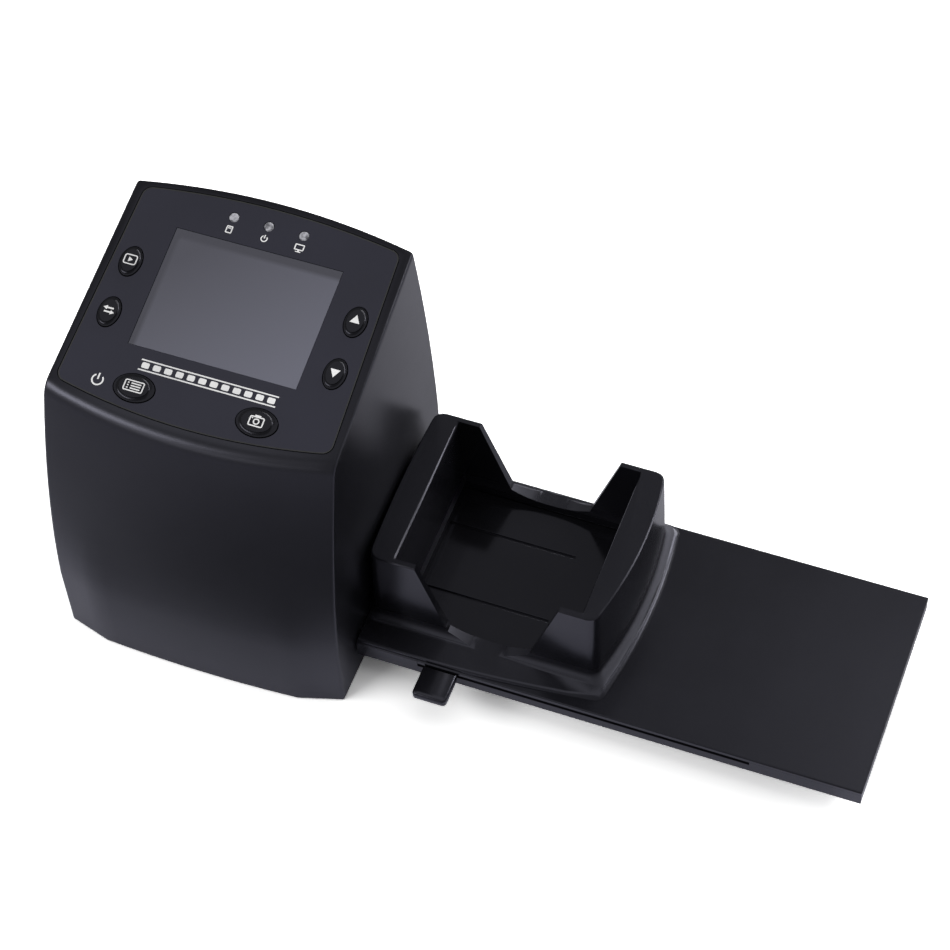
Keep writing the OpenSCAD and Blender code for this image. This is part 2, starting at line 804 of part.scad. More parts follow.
// Four-sided tapering hood round the lens axis, from one size at z0 to another at z1
module hood(low, high, z0, z1) {
    loft([for (e = [[low, z0], [high, z1]])
        [for (c = [[-1, -1], [1, -1], [1, 1], [-1, 1]])
            [c[0] * e[0][0] / 2, gate_y + c[1] * e[0][1] / 2, e[1]]]]);
}

// Frame screws: hold the optical frame on the base plate's posts
module frame_screws() {
    color(metal) in_scanner() at_frame_screws() translate([0, 0, rail_top + frame_t])
        mirror([0, 0, 1]) screw(frame_t + 7, 2.3, 4.4, 1.4);
}

// Diffuser: milky block over the lamp, under the picture window
module diffuser() {
    color(lamp_white) in_scanner() translate([0, gate_y, base_top + 2]) difference() {
        translate([-lamp_l / 2, -lamp_w / 2, 0]) cube([lamp_l, lamp_w, 3.6]);
        translate([0, 0, -hair]) linear_extrude(1) square([window_l - 4, window_w - 4], center = true);
    }
}

// Backlight board: small board with its lamps on the base plate
module backlight_board() {
    in_scanner() translate([0, gate_y, base_top]) {
        chip = [3.2, 2.8, 0.8];
        color(board_green) translate([0, 0, thin_board_t / 2])
            cube([lamp_l, lamp_w, thin_board_t], center = true);
        color(lamp_white) for (x = [-1, 0, 1] * (window_l / 3), y = [-1, 1] * (window_w / 4))
            translate([x - chip[0] / 2, y - chip[1] / 2, thin_board_t - hair]) cube(chip);
    }
}

// Base plate: closes the housing, with the rails that guide the tongue and four posts
module base_plate() {
    color(shell_black) in_scanner() difference() {
        union() {
            translate([0, 0, base_z]) linear_extrude(base_t)
                polygon(foot_outline(base_z, wall + 0.2));
            for (y = [tongue_front - slot_gap - rail_t, tongue_back + slot_gap])
                translate([-rail_l / 2, y, base_z + 1]) cube([rail_l, rail_t, rail_top - base_z - 1]);
            for (y = [tongue_front - slot_gap, tongue_back + slot_gap - ledge])
                translate([-rail_l / 2, y, base_z + 1])
                    cube([rail_l, ledge, tray_z - slot_gap - base_z - 1]);
            at_frame_screws() translate([0, 0, base_z + 1])
                cylinder(d = post_d, h = rail_top - base_z - 1);
            translate([0, gate_y, base_z + 3.5])
                cube([lamp_l + 2 * (lamp_box_wall + 0.2), lamp_w + 2 * (lamp_box_wall + 0.2), 5],
                    center = true);
        }
        translate([0, gate_y, base_top + 5])
            cube([lamp_l + 0.4, lamp_w + 0.4, 10], center = true);
        at_frame_screws() translate([0, 0, rail_top - 8]) cylinder(d = 2.4, h = 9);
        at_base_screws() translate([0, 0, base_z - 1]) {
            cylinder(d = 2.8, h = base_t + 2);
            cylinder(d = 5.4, h = 2.2);
        }
        at_feet() translate([0, 0, base_z - 1]) cylinder(d = foot_d + 0.4, h = foot_recess + 1);
    }
}

// Base screws: four, up into the housing's bosses
module base_screws() {
    color(metal) in_scanner() at_base_screws() translate([0, 0, base_z + 1.2])
        screw(5, 2.4, 4.8, 1);
}

// Rubber feet: four discs in the base plate's recesses
module rubber_feet() {
    tall = base_z + foot_recess;
    chamfer = 0.4;
    color("dimgray") in_scanner() at_feet() rotate_extrude() polygon([
        [0, 0], [foot_d / 2 - chamfer, 0], [foot_d / 2, chamfer], [foot_d / 2, tall], [0, tall]
    ]);
}

// Rectangle from one corner to the other, with its lower and upper corners bevelled at the far
// side and, with both set, at the near side as well
function bevelled(near, far, z0, z1, low, high, both) = concat(
    both && low > 0 ? [[near, z0 + low], [near + low, z0]] : [[near, z0]],
    low > 0 ? [[far - low, z0], [far, z0 + low]] : [[far, z0]],
    high > 0 ? [[far, z1 - high], [far - high, z1]] : [[far, z1]],
    both && high > 0 ? [[near + high, z1], [near, z1 - high]] : [[near, z1]]
);

// Slab of the feeder's outline between two heights: tongue inside the housing, wider tray
// outside, with bevels along the tray's lower or upper edges
module tray_slab(z0, z1, low, high) {
    translate([-tongue_reach, tongue_front, z0])
        cube([tongue_reach + shoulder_x + 1, tongue_w, z1 - z0]);
    intersection() {
        translate([shoulder_x, 0, 0]) rotate([90, 0, 90]) linear_extrude(tray_reach)
            polygon(bevelled(tray_front, tray_back, z0, z1, low, high, true));
        translate([0, tray_back + 1, 0]) rotate([90, 0, 0]) linear_extrude(tray_w + 2)
            polygon(bevelled(shoulder_x, tray_reach, z0, z1, low, high, false));
    }
}

// Outer end of the slide channel
channel_end = tray_reach - 1.2;

// Ends of the slot along the front of the feeder, in which the pusher's arm runs
slot_margin = 2;
slot_start = tab_x - slot_margin;
slot_end = tab_x + tab_w + pusher_travel + slot_margin;
slot_floor = cover_z - run_gap - plate_t + 0.2;

// Outline of the hopper at height z: flat front and back, bulging ends, round corners. It is
// set out by e all round, and its front and back by a share of the foot's further spread.
function hopper_ring(e, share, z) =
    let (r = hopper_r,
        wall = channel_w / 2 + hopper_wall + e - r,
        near = hopper_near + e,
        far = hopper_far + e,
        back = wall + (foot_rear - foot_side) * share,
        front = wall + (foot_front - foot_side) * share,
        corner = wall + (foot_corner - foot_side) * share,
        arcs = [for (c = [[far + lean_far - r, back, 0], [r - near, back, 90],
            [r - near, -front, 180], [far - lean_far - r, -corner, 270]])
            [for (i = [0:4]) let (a = c[2] + i * 90 / 4) [c[0] + r * cos(a), c[1] + r * sin(a)]]],
        near_end = [for (i = [1:9]) let (t = i / 5 - 1)
            [-near - bulge_near * arch(t), lerp(back, -front, i / 10)]],
        front_side = [for (i = [1:9]) let (t = i / 5 - 1)
            [lerp(r - near, far - lean_far - r, i / 10),
                -lerp(front, corner, i / 10) - r - bulge_foot * share * arch(t)]],
        far_end = [for (i = [1:9]) let (t = i / 5 - 1)
            [far + lean_far * t + bulge_far * arch(t), lerp(-corner, back, i / 10)]])
    [for (p = concat(arcs[0], arcs[1], near_end, arcs[2], front_side, arcs[3], far_end))
        [hopper_x + p[0], gate_y + p[1], z]];
function arch(t) = 1 - t * t;

// The hopper's outer form: rounded rim of the foot, ledge, hollow curve, drafted walls
module hopper_form() {
    draft = 0.5;
    slope = 0.15;
    steps = 6;
    hollow = foot_side - foot_round;
    ledge_z = tray_top + foot_step;
    rim = [for (i = [0:steps]) let (a = 90 * i / steps)
        hopper_ring(draft + foot_side - foot_round * (1 - cos(a)), 1,
            tray_top + foot_step * sin(a))];
    curve = [for (i = [0:steps]) let (a = 90 * i / steps)
        hopper_ring(draft + hollow * (1 - sin(a)), 0,
            ledge_z + slope + foot_rise * (1 - cos(a)))];
    loft(concat(
        [hopper_ring(draft + foot_side, 1, cover_z + 0.2)],
        rim,
        curve,
        [hopper_ring(0, 0, tray_top + hopper_h - bevel)],
        [hopper_ring(-bevel, 0, tray_top + hopper_h)]
    ));
}

// The space for the stack of slides, narrowing a little towards the floor
module hopper_well() {
    low = [hopper_in / 2 - hopper_draft, channel_w / 2];
    high = [hopper_in / 2, channel_w / 2 + 0.2];
    loft([for (e = [[low, cover_z - 1], [low, tray_top], [high, tray_top + hopper_h + 1]])
        [for (c = [[-1, -1], [1, -1], [1, 1], [-1, 1]])
            [hopper_x + c[0] * e[0][0], gate_y + c[1] * e[0][1], e[1]]]]);
}

// Side view of a finger notch: sloping sides and a shallow curved floor
module notch_outline() {
    rise = (notch_top - notch_low) / 2 / (hopper_h - notch_corner);
    top = hopper_h + 5;
    polygon(concat(
        [[notch_top / 2 + rise * 5, top], [-notch_top / 2 - rise * 5, top]],
        [for (i = [-6:6]) [notch_low / 2 * i / 6,
            lerp(notch_floor, notch_corner, pow(abs(i) / 6, 2.4))]]
    ));
}

// Feeder cover: top shell of the feeder with the hopper and its finger notches
module feeder_cover() {
    cut_w = 3.6;
    color(shell_black) in_scanner() difference() {
        union() {
            tray_slab(cover_z, tray_top, 0, bevel);
            intersection() {
                hopper_form();
                translate([half + slot_gap + 0.1, tray_front + 0.5, cover_z])
                    cube([tray_reach, tray_w - 0.9, hopper_h + 10]);
            }
            at_feeder_screws() translate([0, 0, channel_z + 0.6])
                cylinder(d = 4.4, h = cover_z - channel_z);
        }
        hopper_well();
        translate([hopper_x, tray_back + 20, tray_top]) rotate([90, 0, 0])
            linear_extrude(tray_w + 40) notch_outline();
        translate([-window_l / 2, gate_y - window_w / 2, cover_z - 1])
            cube([window_l, window_w, shell_t + 2]);
        translate([shoulder_x - 1, tray_front - 1, cover_z - 1])
            cube([slot_start - shoulder_x + 1, cut_w, shell_t + 1]);
        at_feeder_screws() translate([0, 0, channel_z]) cylinder(d = 2.1, h = channel_h + 0.6);
    }
}

// Feeder base: floor and walls of the slide channel, with the slot for the pusher's arm
module feeder_base() {
    lip = 2.5;
    color(shell_black) in_scanner() difference() {
        union() {
            tray_slab(tray_z, cover_z, bevel, 0);
            translate([shoulder_x, tray_front, cover_z - 1]) rotate([90, 0, 90])
                linear_extrude(slot_start - shoulder_x - 0.1)
                    polygon([[0, 0], [lip, 0], [lip, shell_t + 1], [bevel, shell_t + 1],
                        [0, shell_t + 1 - bevel]]);
        }
        translate([-tongue_reach - 5, channel_front, channel_z])
            cube([tongue_reach + 5 + channel_end, channel_w, channel_h + 5]);
        translate([slot_start, tray_front - 1, slot_floor])
            cube([slot_end - slot_start, channel_front - tray_front + 2, 5]);
        translate([-window_l / 2, gate_y - window_w / 2, tray_z - 1])
            cube([window_l, window_w, floor_t + 2]);
        at_feeder_screws() translate([0, 0, tray_z]) {
            translate([0, 0, channel_z + 0.5 - tray_z]) cylinder(d = 4.9, h = channel_h + 1);
            translate([0, 0, -1]) cylinder(d = 2.3, h = channel_h);
            translate([0, 0, -1]) cylinder(d = 4.2, h = 2.1);
        }
    }
}

// Feeder screws: six, up through the base into the cover's bosses
module feeder_screws() {
    color(metal) in_scanner() at_feeder_screws() translate([0, 0, tray_z + 1.1])
        screw(3.4, 1.9, 3.8, 0.9);
}

// Pusher plate: shallow plate with runners, two grooves and the arm that reaches the tab
plate_w = channel_w - 2 * run_gap;
plate_start = slide_size / 2 + 0.3;
plate_rim = 2.4;
plate_end = channel_end - run_gap - pusher_travel;
plate_top = cover_z - run_gap;
arm_t = plate_t - 0.3;
arm_in = 3.2;

module pusher_plate() {
    arm_w = tab_w - 1.2;
    groove_start = hopper_x - hopper_in / 2 - 2;
    groove_end = hopper_x + 12.5;
    legs_z = channel_z + run_gap;
    color(panel_black) in_scanner() {
        difference() {
            translate([plate_start, gate_y - plate_w / 2, legs_z])
                cube([plate_end - plate_start, plate_w, plate_top - legs_z]);
            translate([plate_start + plate_rim, gate_y - plate_w / 2 + plate_rim, legs_z - 1])
                cube([plate_end - plate_start - 2 * plate_rim, plate_w - 2 * plate_rim,
                    plate_top - plate_t - legs_z + 1]);
            for (y = [-1, 1] * groove_y)
                translate([groove_start, gate_y + y - groove_w / 2, plate_top - 0.6])
                    cube([groove_end - groove_start, groove_w, 2]);
        }
        translate([tab_x + 0.6, tray_front - arm_in, plate_top - arm_t])
            cube([arm_w, gate_y - plate_w / 2 + 1 - tray_front + arm_in, arm_t]);
    }
}

// Pusher tab: finger grip on the end of the arm
module pusher_tab() {
    r = 0.7;
    gap = 0.4;
    middle = plate_top - arm_t / 2;
    color(shell_black) in_scanner() difference() {
        loft([for (e = [[r, -tab_t / 2], [0.2, 0.3 - tab_t / 2], [0, r - tab_t / 2],
                [0, tab_t / 2 - r], [0.2, tab_t / 2 - 0.3], [r, tab_t / 2]])
            [for (p = tab_outline(e[0])) [p[0], p[1] - gap, middle + e[1]]]]);
        translate([tab_x + 0.55, tray_front - arm_in - 0.1, middle - arm_t / 2 - 0.05])
            cube([tab_w - 1.1, 6, arm_t + 0.1]);
    }
}

// Outline of the tab, set in by e, with its two outer corners rounded
function tab_outline(e) =
    let (r = 1.2, x0 = tab_x + e, x1 = tab_x + tab_w - e, y0 = tray_front - tab_out + e)
    concat(
        [for (a = [180:22.5:270]) [x0 + r + r * cos(a), y0 + r + r * sin(a)]],
        [for (a = [270:22.5:360]) [x1 - r + r * cos(a), y0 + r + r * sin(a)]],
        [[x1, tray_front - e / 2], [x0, tray_front - e / 2]]
    );

housing();
control_panel();
display_window();
display_module();
indicator_lights();
play_button();
flip_button();
up_button();
down_button();
menu_button();
capture_button();
control_board();
tact_switches();
board_screws();
main_board();
card_socket();
usb_socket();
sensor_board();
image_sensor();
lens_barrel();
lens_glass();
optical_frame();
frame_screws();
diffuser();
backlight_board();
base_plate();
base_screws();
rubber_feet();
feeder_cover();
feeder_base();
feeder_screws();
pusher_plate();
pusher_tab();
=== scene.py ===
# %% [markdown]
# # Dressing a film and slide scanner
# The solids of this scanner come ready made, at their real size. This lesson gives them their
# look: soft edges, moulded and polished plastics, printed symbols, light and a camera. Every
# length is in metres, X runs along the slide feeder, Y to the back and Z up.

import json
import math

import bmesh
import bpy
from mathutils import Matrix, Vector

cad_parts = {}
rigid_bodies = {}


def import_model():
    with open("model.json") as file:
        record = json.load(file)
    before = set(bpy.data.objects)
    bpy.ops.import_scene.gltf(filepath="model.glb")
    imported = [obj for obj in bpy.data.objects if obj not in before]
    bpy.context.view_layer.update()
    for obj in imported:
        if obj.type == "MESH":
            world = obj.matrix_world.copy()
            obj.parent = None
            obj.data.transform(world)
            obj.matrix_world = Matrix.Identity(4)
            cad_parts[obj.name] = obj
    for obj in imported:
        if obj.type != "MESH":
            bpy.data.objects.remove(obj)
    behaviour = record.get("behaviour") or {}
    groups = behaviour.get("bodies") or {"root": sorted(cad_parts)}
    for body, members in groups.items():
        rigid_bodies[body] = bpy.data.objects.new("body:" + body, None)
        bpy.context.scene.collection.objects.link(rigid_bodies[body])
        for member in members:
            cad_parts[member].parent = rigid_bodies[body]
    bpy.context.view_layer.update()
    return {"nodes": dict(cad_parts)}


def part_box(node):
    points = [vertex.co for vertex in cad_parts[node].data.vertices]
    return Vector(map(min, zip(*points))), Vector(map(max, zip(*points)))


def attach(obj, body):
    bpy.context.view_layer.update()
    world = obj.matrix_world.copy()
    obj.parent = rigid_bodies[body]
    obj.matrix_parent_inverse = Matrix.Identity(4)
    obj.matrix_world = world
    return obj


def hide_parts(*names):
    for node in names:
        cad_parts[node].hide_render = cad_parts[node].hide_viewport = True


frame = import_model()
MM = 0.001

# %% [markdown]
# ## Places on the sloping panel
# Nearly all that a user touches lies on the control panel, which slopes by 14 degrees. It is
# easiest to draw flat and then to lay each piece on the slope with one matrix. The pane of the
# display is a flat plate in the middle of the panel, so it gives the matrix's place. The middle
# of that plate lies half a millimetre below the panel's surface, which is added again.

# %% The panel's matrix
PANEL_TILT = math.radians(14)
PANE_MIDDLE_DEPTH = 0.515 * MM

slope = Matrix.Rotation(PANEL_TILT, 4, "X")
panel_normal = slope.to_3x3() @ Vector((0, 0, 1))
pane_low, pane_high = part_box("display_window")
panel_middle = (pane_low + pane_high) / 2 + panel_normal * PANE_MIDDLE_DEPTH
ON_PANEL = Matrix.Translation(panel_middle) @ slope
print("middle of the panel (mm):", [round(v / MM, 2) for v in panel_middle])

# %% [markdown]
# ## Shader sums written as Python
# A material is a small program made of nodes. Building it node by node takes several lines for
# each sum, so a small class shortens it. A Wire is a value on its way through the material and
# can be added, multiplied or subtracted as a number can.

# %% A wire
class Wire:
    """A number that flows through a material, usable in ordinary sums."""

    def __init__(self, finish, socket):
        self.finish = finish
        self.socket = socket

    def sum(self, operation, *values):
        node = self.finish.node("ShaderNodeMath", {"operation": operation},
                                dict(enumerate(values)))
        return Wire(self.finish, node.outputs[0])

    def __add__(self, other):
        return self.sum("ADD", self, other)

    __radd__ = __add__

    def __mul__(self, other):
        return self.sum("MULTIPLY", self, other)

    __rmul__ = __mul__

    def __sub__(self, other):
        return self.sum("SUBTRACT", self, other)

    def __rsub__(self, other):
        return self.sum("SUBTRACT", other, self)

    def clamped(self):
        return self.sum("MINIMUM", self.sum("MAXIMUM", self, 0.0), 1.0)


print("a wire can:", [name.strip("_") for name in vars(Wire) if callable(vars(Wire)[name])])

# %% [markdown]
# ## A finish
# A Finish is the material itself. It starts with Blender's main shader and with the place on
# the object, and has a short name for each kind of node that this scanner needs. One method
# makes any node: settings first, then a value or a link for each socket.

# %% A finish and its nodes
class Finish:
    """A material under construction, with its main shader ready."""

    def __init__(self, name):
        self.material = bpy.data.materials.new(name)
        self.material.use_nodes = True
        self.tree = self.material.node_tree
        self.shader = self.tree.nodes["Principled BSDF"]
        self.place = self.node("ShaderNodeTexCoord").outputs["Object"]

    def node(self, kind, settings=None, inputs=None):
        made = self.tree.nodes.new(kind)
        for key, value in (settings or {}).items():
            setattr(made, key, value)
        for key, value in (inputs or {}).items():
            self.feed(made.inputs[key], value)
        return made

    def feed(self, socket, value):
        if isinstance(value, Wire):
            value = value.socket
        if isinstance(value, bpy.types.NodeSocket):
            self.tree.links.new(value, socket)
        else:
            socket.default_value = value

    def split(self, vector):
        """The three parts of a vector, as wires."""
        parts = self.node("ShaderNodeSeparateXYZ", None, {0: vector})
        return [Wire(self, socket) for socket in parts.outputs]

    def on_panel(self):
        """How far across, up and out of the panel's middle a point lies."""
        flat = self.node("ShaderNodeMapping", {"vector_type": "TEXTURE"},
                         {"Vector": self.place, "Location": panel_middle,
                          "Rotation": (PANEL_TILT, 0, 0)})
        return self.split(flat.outputs[0])

    def noise(self, scale, detail=3.0, roughness=0.5, stretch=None):
        place = self.place
        if stretch:
            place = self.node("ShaderNodeMapping", None,
                              {"Vector": place, "Scale": stretch}).outputs[0]
        made = self.node("ShaderNodeTexNoise", None,
                         {"Vector": place, "Scale": scale, "Detail": detail,
                          "Roughness": roughness})
        return Wire(self, made.outputs["Fac"])

    def span(self, value, low, high, new_low, new_high):
        """Carries a value from one span to another and holds it within the new one."""
        made = self.node("ShaderNodeMapRange", {"clamp": True},
                         {0: value, 1: low, 2: high, 3: new_low, 4: new_high})
        return Wire(self, made.outputs[0])

    def blend(self, factor, first, second):
        made = self.node("ShaderNodeMix", {"data_type": "RGBA"},
                         {0: factor, 6: first, 7: second})
        return made.outputs[2]

    def bump(self, height, distance):
        made = self.node("ShaderNodeBump", None, {"Height": height, "Distance": distance})
        self.feed(self.shader.inputs["Normal"], made.outputs[0])

    def mixed(self, factor, first, second):
        """One shader that turns from a first into a second one."""
        made = self.node("ShaderNodeMixShader", None,
                         {0: factor, 1: first.outputs[0], 2: second.outputs[0]})
        return made

    def shows(self, shader):
        """Lets this shader be the surface."""
        self.feed(self.tree.nodes["Material Output"].inputs["Surface"], shader.outputs[0])

    def set(self, **inputs):
        for key, value in inputs.items():
            self.feed(self.shader.inputs[key.replace("_", " ")], value)
        return self.material


def grey(level, blue=1.0):
    """A near-neutral colour; blue above 1 cools it."""
    return (level, level, level * blue, 1.0)


print("a cool dark grey:", grey(0.006, 1.25))

# %% [markdown]
# ## Moulded plastic
# The housing is moulded in a steel tool whose surface was spark-eroded, which leaves a fine
# even grain and a satin shine. The polished feeder shows more shine and a few faint smears.
# One function serves both: three noises give the grain, slow changes of shine, and tone. Where
# two surfaces of one piece differ, as the duller rim round the panel does, a second shader is
# mixed in by place, since the gloss of one shader is the same all over.

# %% How a moulded plastic is made
COOL = (0.82, 0.82, 1.0, 1.0)
NEUTRAL = (1.0, 1.0, 1.0, 1.0)
CLOUD_SIZE, STREAK_SIZE = 28 * MM, 9 * MM
STREAK_STRETCH = (1.0, 0.35, 0.6)
DARKEST, PALEST = 0.85, 1.2
GRAIN_ROUGHNESS = 0.05
HOLLOW_FADE_IN, HOLLOW_FADE_OUT, HOLLOW_ROUGHNESS = 0.35 * MM, 3 * MM, 0.3
RIM_BELOW, RIM_LEVEL = -0.45 * MM, -0.1 * MM
RIM_STARTS, RIM_FULL = -38 * MM, -34 * MM


def calmer_rim(finish, colour, rough, tint, gloss):
    """Mixes in a duller shader where the surface lies level with the panel."""
    _, up, out = finish.on_panel()
    level = (finish.span(out, RIM_BELOW, RIM_LEVEL, 0, 1)
             * finish.span(up, RIM_STARTS, RIM_FULL, 0, 1))
    dull = finish.node("ShaderNodeBsdfPrincipled", None,
                       {"Base Color": colour, "Roughness": rough, "Specular Tint": tint,
                        "Specular IOR Level": gloss})
    finish.shows(finish.mixed(level, finish.shader, dull))


def moulded(name, tone, blue, dullness, grain_size, grain_depth, smear=0.04, tint=COOL,
            gloss=0.5, rim_gloss=None, hollow=None):
    """Grained plastic; hollow gives the heights between which a matt zone lies."""
    finish = Finish(name)
    grain = finish.noise(1 / grain_size, 2.0, 0.6)
    cloud = finish.noise(1 / CLOUD_SIZE, 3.0, 0.55)
    streak = finish.noise(1 / STREAK_SIZE, 4.0, 0.65, stretch=STREAK_STRETCH)
    colour = finish.blend(finish.span(cloud, 0.3, 0.7, 0.0, 1.0),
                          grey(tone * DARKEST, blue), grey(tone * PALEST, blue))
    rough = (dullness + (cloud - 0.5) * smear + (streak - 0.5) * smear
             + (grain - 0.5) * GRAIN_ROUGHNESS)
    finish.bump(grain, grain_depth)
    if hollow:
        low, high = hollow
        height = finish.split(finish.place)[2]
        matt = (finish.span(height, low, low + HOLLOW_FADE_IN, 0, 1)
                * finish.span(height, high, high + HOLLOW_FADE_OUT, 1, 0))
        rough = rough + matt * HOLLOW_ROUGHNESS
    if rim_gloss is not None:
        calmer_rim(finish, colour, rough, tint, rim_gloss)
    return finish.set(Base_Color=colour, Roughness=rough, Specular_Tint=tint,
                      Specular_IOR_Level=gloss)


print("slow changes of tone, from and to:", DARKEST, PALEST)

# %% [markdown]
# ## The plastics of this scanner
# All dark parts are nearly black, with a blue tinge. What sets them apart is the grain and the
# dullness: a polished pusher plate, a satin shell and panel film, and dull rubber feet.

# %% Moulded plastic finishes
shell_finish = moulded("moulded_shell", tone=0.006, blue=1.25, dullness=0.3,
                       grain_size=0.5 * MM, grain_depth=0.008 * MM, rim_gloss=0.25)
feeder_finish = moulded("polished_feeder", tone=0.005, blue=1.3, dullness=0.22,
                        grain_size=0.9 * MM, grain_depth=0.004 * MM, smear=0.06,
                        hollow=(16.55 * MM, 18 * MM))
plate_finish = moulded("pusher_plate", tone=0.004, blue=1.2, dullness=0.13,
                       grain_size=0.9 * MM, grain_depth=0.002 * MM, smear=0.05)
button_finish = moulded("button_plastic", tone=0.005, blue=1.15, dullness=0.22,
                        grain_size=0.7 * MM, grain_depth=0.004 * MM, smear=0.03, gloss=0.25)
foot_finish = moulded("foot_rubber", tone=0.02, blue=1.0, dullness=0.75,
                      grain_size=0.6 * MM, grain_depth=0.03 * MM, tint=NEUTRAL)
frame_finish = moulded("inner_black_plastic", tone=0.012, blue=1.0, dullness=0.6,
                       grain_size=0.6 * MM, grain_depth=0.02 * MM)
panel_finish = moulded("panel_film", tone=0.0085, blue=1.7, dullness=0.34,
                       grain_size=0.35 * MM, grain_depth=0.003 * MM, smear=0.03)
white_print = moulded("white_print", tone=0.82, blue=1.0, dullness=0.5,
                      grain_size=0.4 * MM, grain_depth=0.004 * MM, tint=NEUTRAL)
milky_finish = moulded("milky_diffuser", tone=0.72, blue=0.97, dullness=0.5,
                       grain_size=0.6 * MM, grain_depth=0.004 * MM)
print("plastics:", len(bpy.data.materials))

# %% [markdown]
# ## Boards and metals
# These sit inside or in the sockets at the back. Laminate shows a woven glass pattern under its
# green lacquer, and rolled sheet steel has fine lines along the rolling direction.

# %% Laminate and sheet metal
WEAVE_SIZE, TRACK_SIZE, ROLLING_SIZE = 0.8 * MM, 18 * MM, 1.2 * MM
DEEP_GREEN, GREEN = (0.010, 0.085, 0.035, 1), (0.016, 0.12, 0.05, 1)
TRACK_GREEN = (0.05, 0.2, 0.08, 1)


def laminate(name):
    finish = Finish(name)
    weave = finish.noise(1 / WEAVE_SIZE, 1.0, 0.5, stretch=(1.0, 4.0, 1.0))
    tracks = finish.node("ShaderNodeTexBrick", {"offset": 0.37},
                         {"Vector": finish.place, "Scale": 1 / TRACK_SIZE, "Mortar Size": 0.03})
    lacquer = finish.blend(finish.span(weave, 0.35, 0.65, 0.0, 1.0), DEEP_GREEN, GREEN)
    colour = finish.blend(Wire(finish, tracks.outputs["Fac"]), lacquer, TRACK_GREEN)
    return finish.set(Base_Color=colour, Roughness=0.3 + weave * 0.1)


def sheet_metal(name, tone, dullness):
    finish = Finish(name)
    lines = finish.noise(1 / ROLLING_SIZE, 2.0, 0.5, stretch=(0.15, 6.0, 6.0))
    colour = finish.blend(lines, grey(tone * 0.9, 1.02), grey(tone, 1.02))
    finish.bump(lines, 0.005 * MM)
    return finish.set(Base_Color=colour, Roughness=dullness + lines * 0.12, Metallic=1.0)


board_finish = laminate("green_laminate")
steel_finish = sheet_metal("plated_sheet_steel", tone=0.62, dullness=0.25)
screw_finish = sheet_metal("blackened_steel", tone=0.12, dullness=0.3)
print("plastics, boards and metals:", len(bpy.data.materials))

# %% [markdown]
# ## Display, lights and lens glass
# The pane is tinted plastic over a dark liquid-crystal screen, and looks mid grey when it is
# off. Its colour holds a painted soft shade along the upper and left edges of the picture area,
# where the moulding would cast it, and a painted fall of light that makes it paler towards the
# lower right. The three lights are clear plastic rods, so they look pale with brighter and darker
# spots.

# %% Pane, light pipes and lens
PANE_LEFT, PANE_TOP = -49.7 * MM / 2, 36.8 * MM / 2
SHADE_LEFT, SHADE_TOP = 2.4 * MM, 3.4 * MM
# The screen's colours, paler where a fall of light is painted, and the painted shade at its edges.
SCREEN_DARK, SCREEN_PALE = (0.06, 0.06, 0.08, 1), (0.128, 0.13, 0.17, 1)
PAINTED_SCREEN_SHADE = (0.042, 0.042, 0.058, 1)
ROD_DARK, ROD_PALE = (0.1, 0.1, 0.115, 1), (0.44, 0.44, 0.48, 1)
GLASS_BLUE, GLASS_VIOLET = (0.02, 0.03, 0.06, 1), (0.05, 0.03, 0.08, 1)


def pane_of_display(name):
    finish = Finish(name)
    across, up, _ = finish.on_panel()
    # Painted shade along the left and top edges, and a painted fall of light from the upper left to
    # the lower right.
    left_edge = finish.span(across, PANE_LEFT + 0.5 * SHADE_LEFT, PANE_LEFT + SHADE_LEFT, 1, 0)
    top_edge = finish.span(up, PANE_TOP - SHADE_TOP, PANE_TOP - 0.6 * SHADE_TOP, 0, 1)
    shade = (left_edge + top_edge).clamped()
    fade = finish.span(across - up, -30 * MM, 40 * MM, 0, 1)
    cloud = finish.noise(1 / (30 * MM), 2.0)
    screen = finish.blend(fade, SCREEN_DARK, SCREEN_PALE)
    colour = finish.blend(shade, screen, PAINTED_SCREEN_SHADE)
    return finish.set(Base_Color=colour, Roughness=0.2 + cloud * 0.08)


def light_pipe(name):
    finish = Finish(name)
    cloud = finish.noise(1 / (1.5 * MM))
    colour = finish.blend(finish.span(cloud, 0.4, 0.6, 0, 1), ROD_DARK, ROD_PALE)
    return finish.set(Base_Color=colour, Roughness=0.18 + cloud * 0.1)


def lens(name):
    finish = Finish(name)
    cloud = finish.noise(1 / (5 * MM), 2.0)
    return finish.set(Base_Color=finish.blend(cloud, GLASS_BLUE, GLASS_VIOLET),
                      Roughness=0.03 + cloud * 0.03)


pane_finish = pane_of_display("display_pane")
pipe_finish = light_pipe("light_pipe")
lens_finish = lens("coated_lens")
print("finishes in all:", len(bpy.data.materials))

# %% [markdown]
# ## Working on one piece at a time
# Blender's tools act on whatever is selected, so each step starts from an empty selection. A
# solid of the frame is a loose pile of triangles with hard edges, and so a copy of it is welded
# first: edges can only be found and broken where two faces share them.

# %% Selecting, editing and copying
WELD = 0.002 * MM


def alone(*pieces):
    """Selects these objects and nothing else, in object mode."""
    if bpy.context.mode != "OBJECT":
        bpy.ops.object.mode_set(mode="OBJECT")
    bpy.ops.object.select_all(action="DESELECT")
    for piece in pieces:
        piece.select_set(True)
    bpy.context.view_layer.objects.active = pieces[-1]


def edit(action="SELECT"):
    """Opens the active piece in edit mode, with all of it or nothing selected."""
    bpy.ops.object.mode_set(mode="EDIT")
    bpy.ops.mesh.select_all(action=action)


def done():
    """Closes edit mode, which writes the changes into the mesh."""
    bpy.ops.object.mode_set(mode="OBJECT")


def modifier(piece, kind, **settings):
    """Adds a modifier, sets it and applies it."""
    alone(piece)
    made = piece.modifiers.new(kind.title(), kind)
    for key, value in settings.items():
        setattr(made, key, value)
    bpy.ops.object.modifier_apply(modifier=made.name)


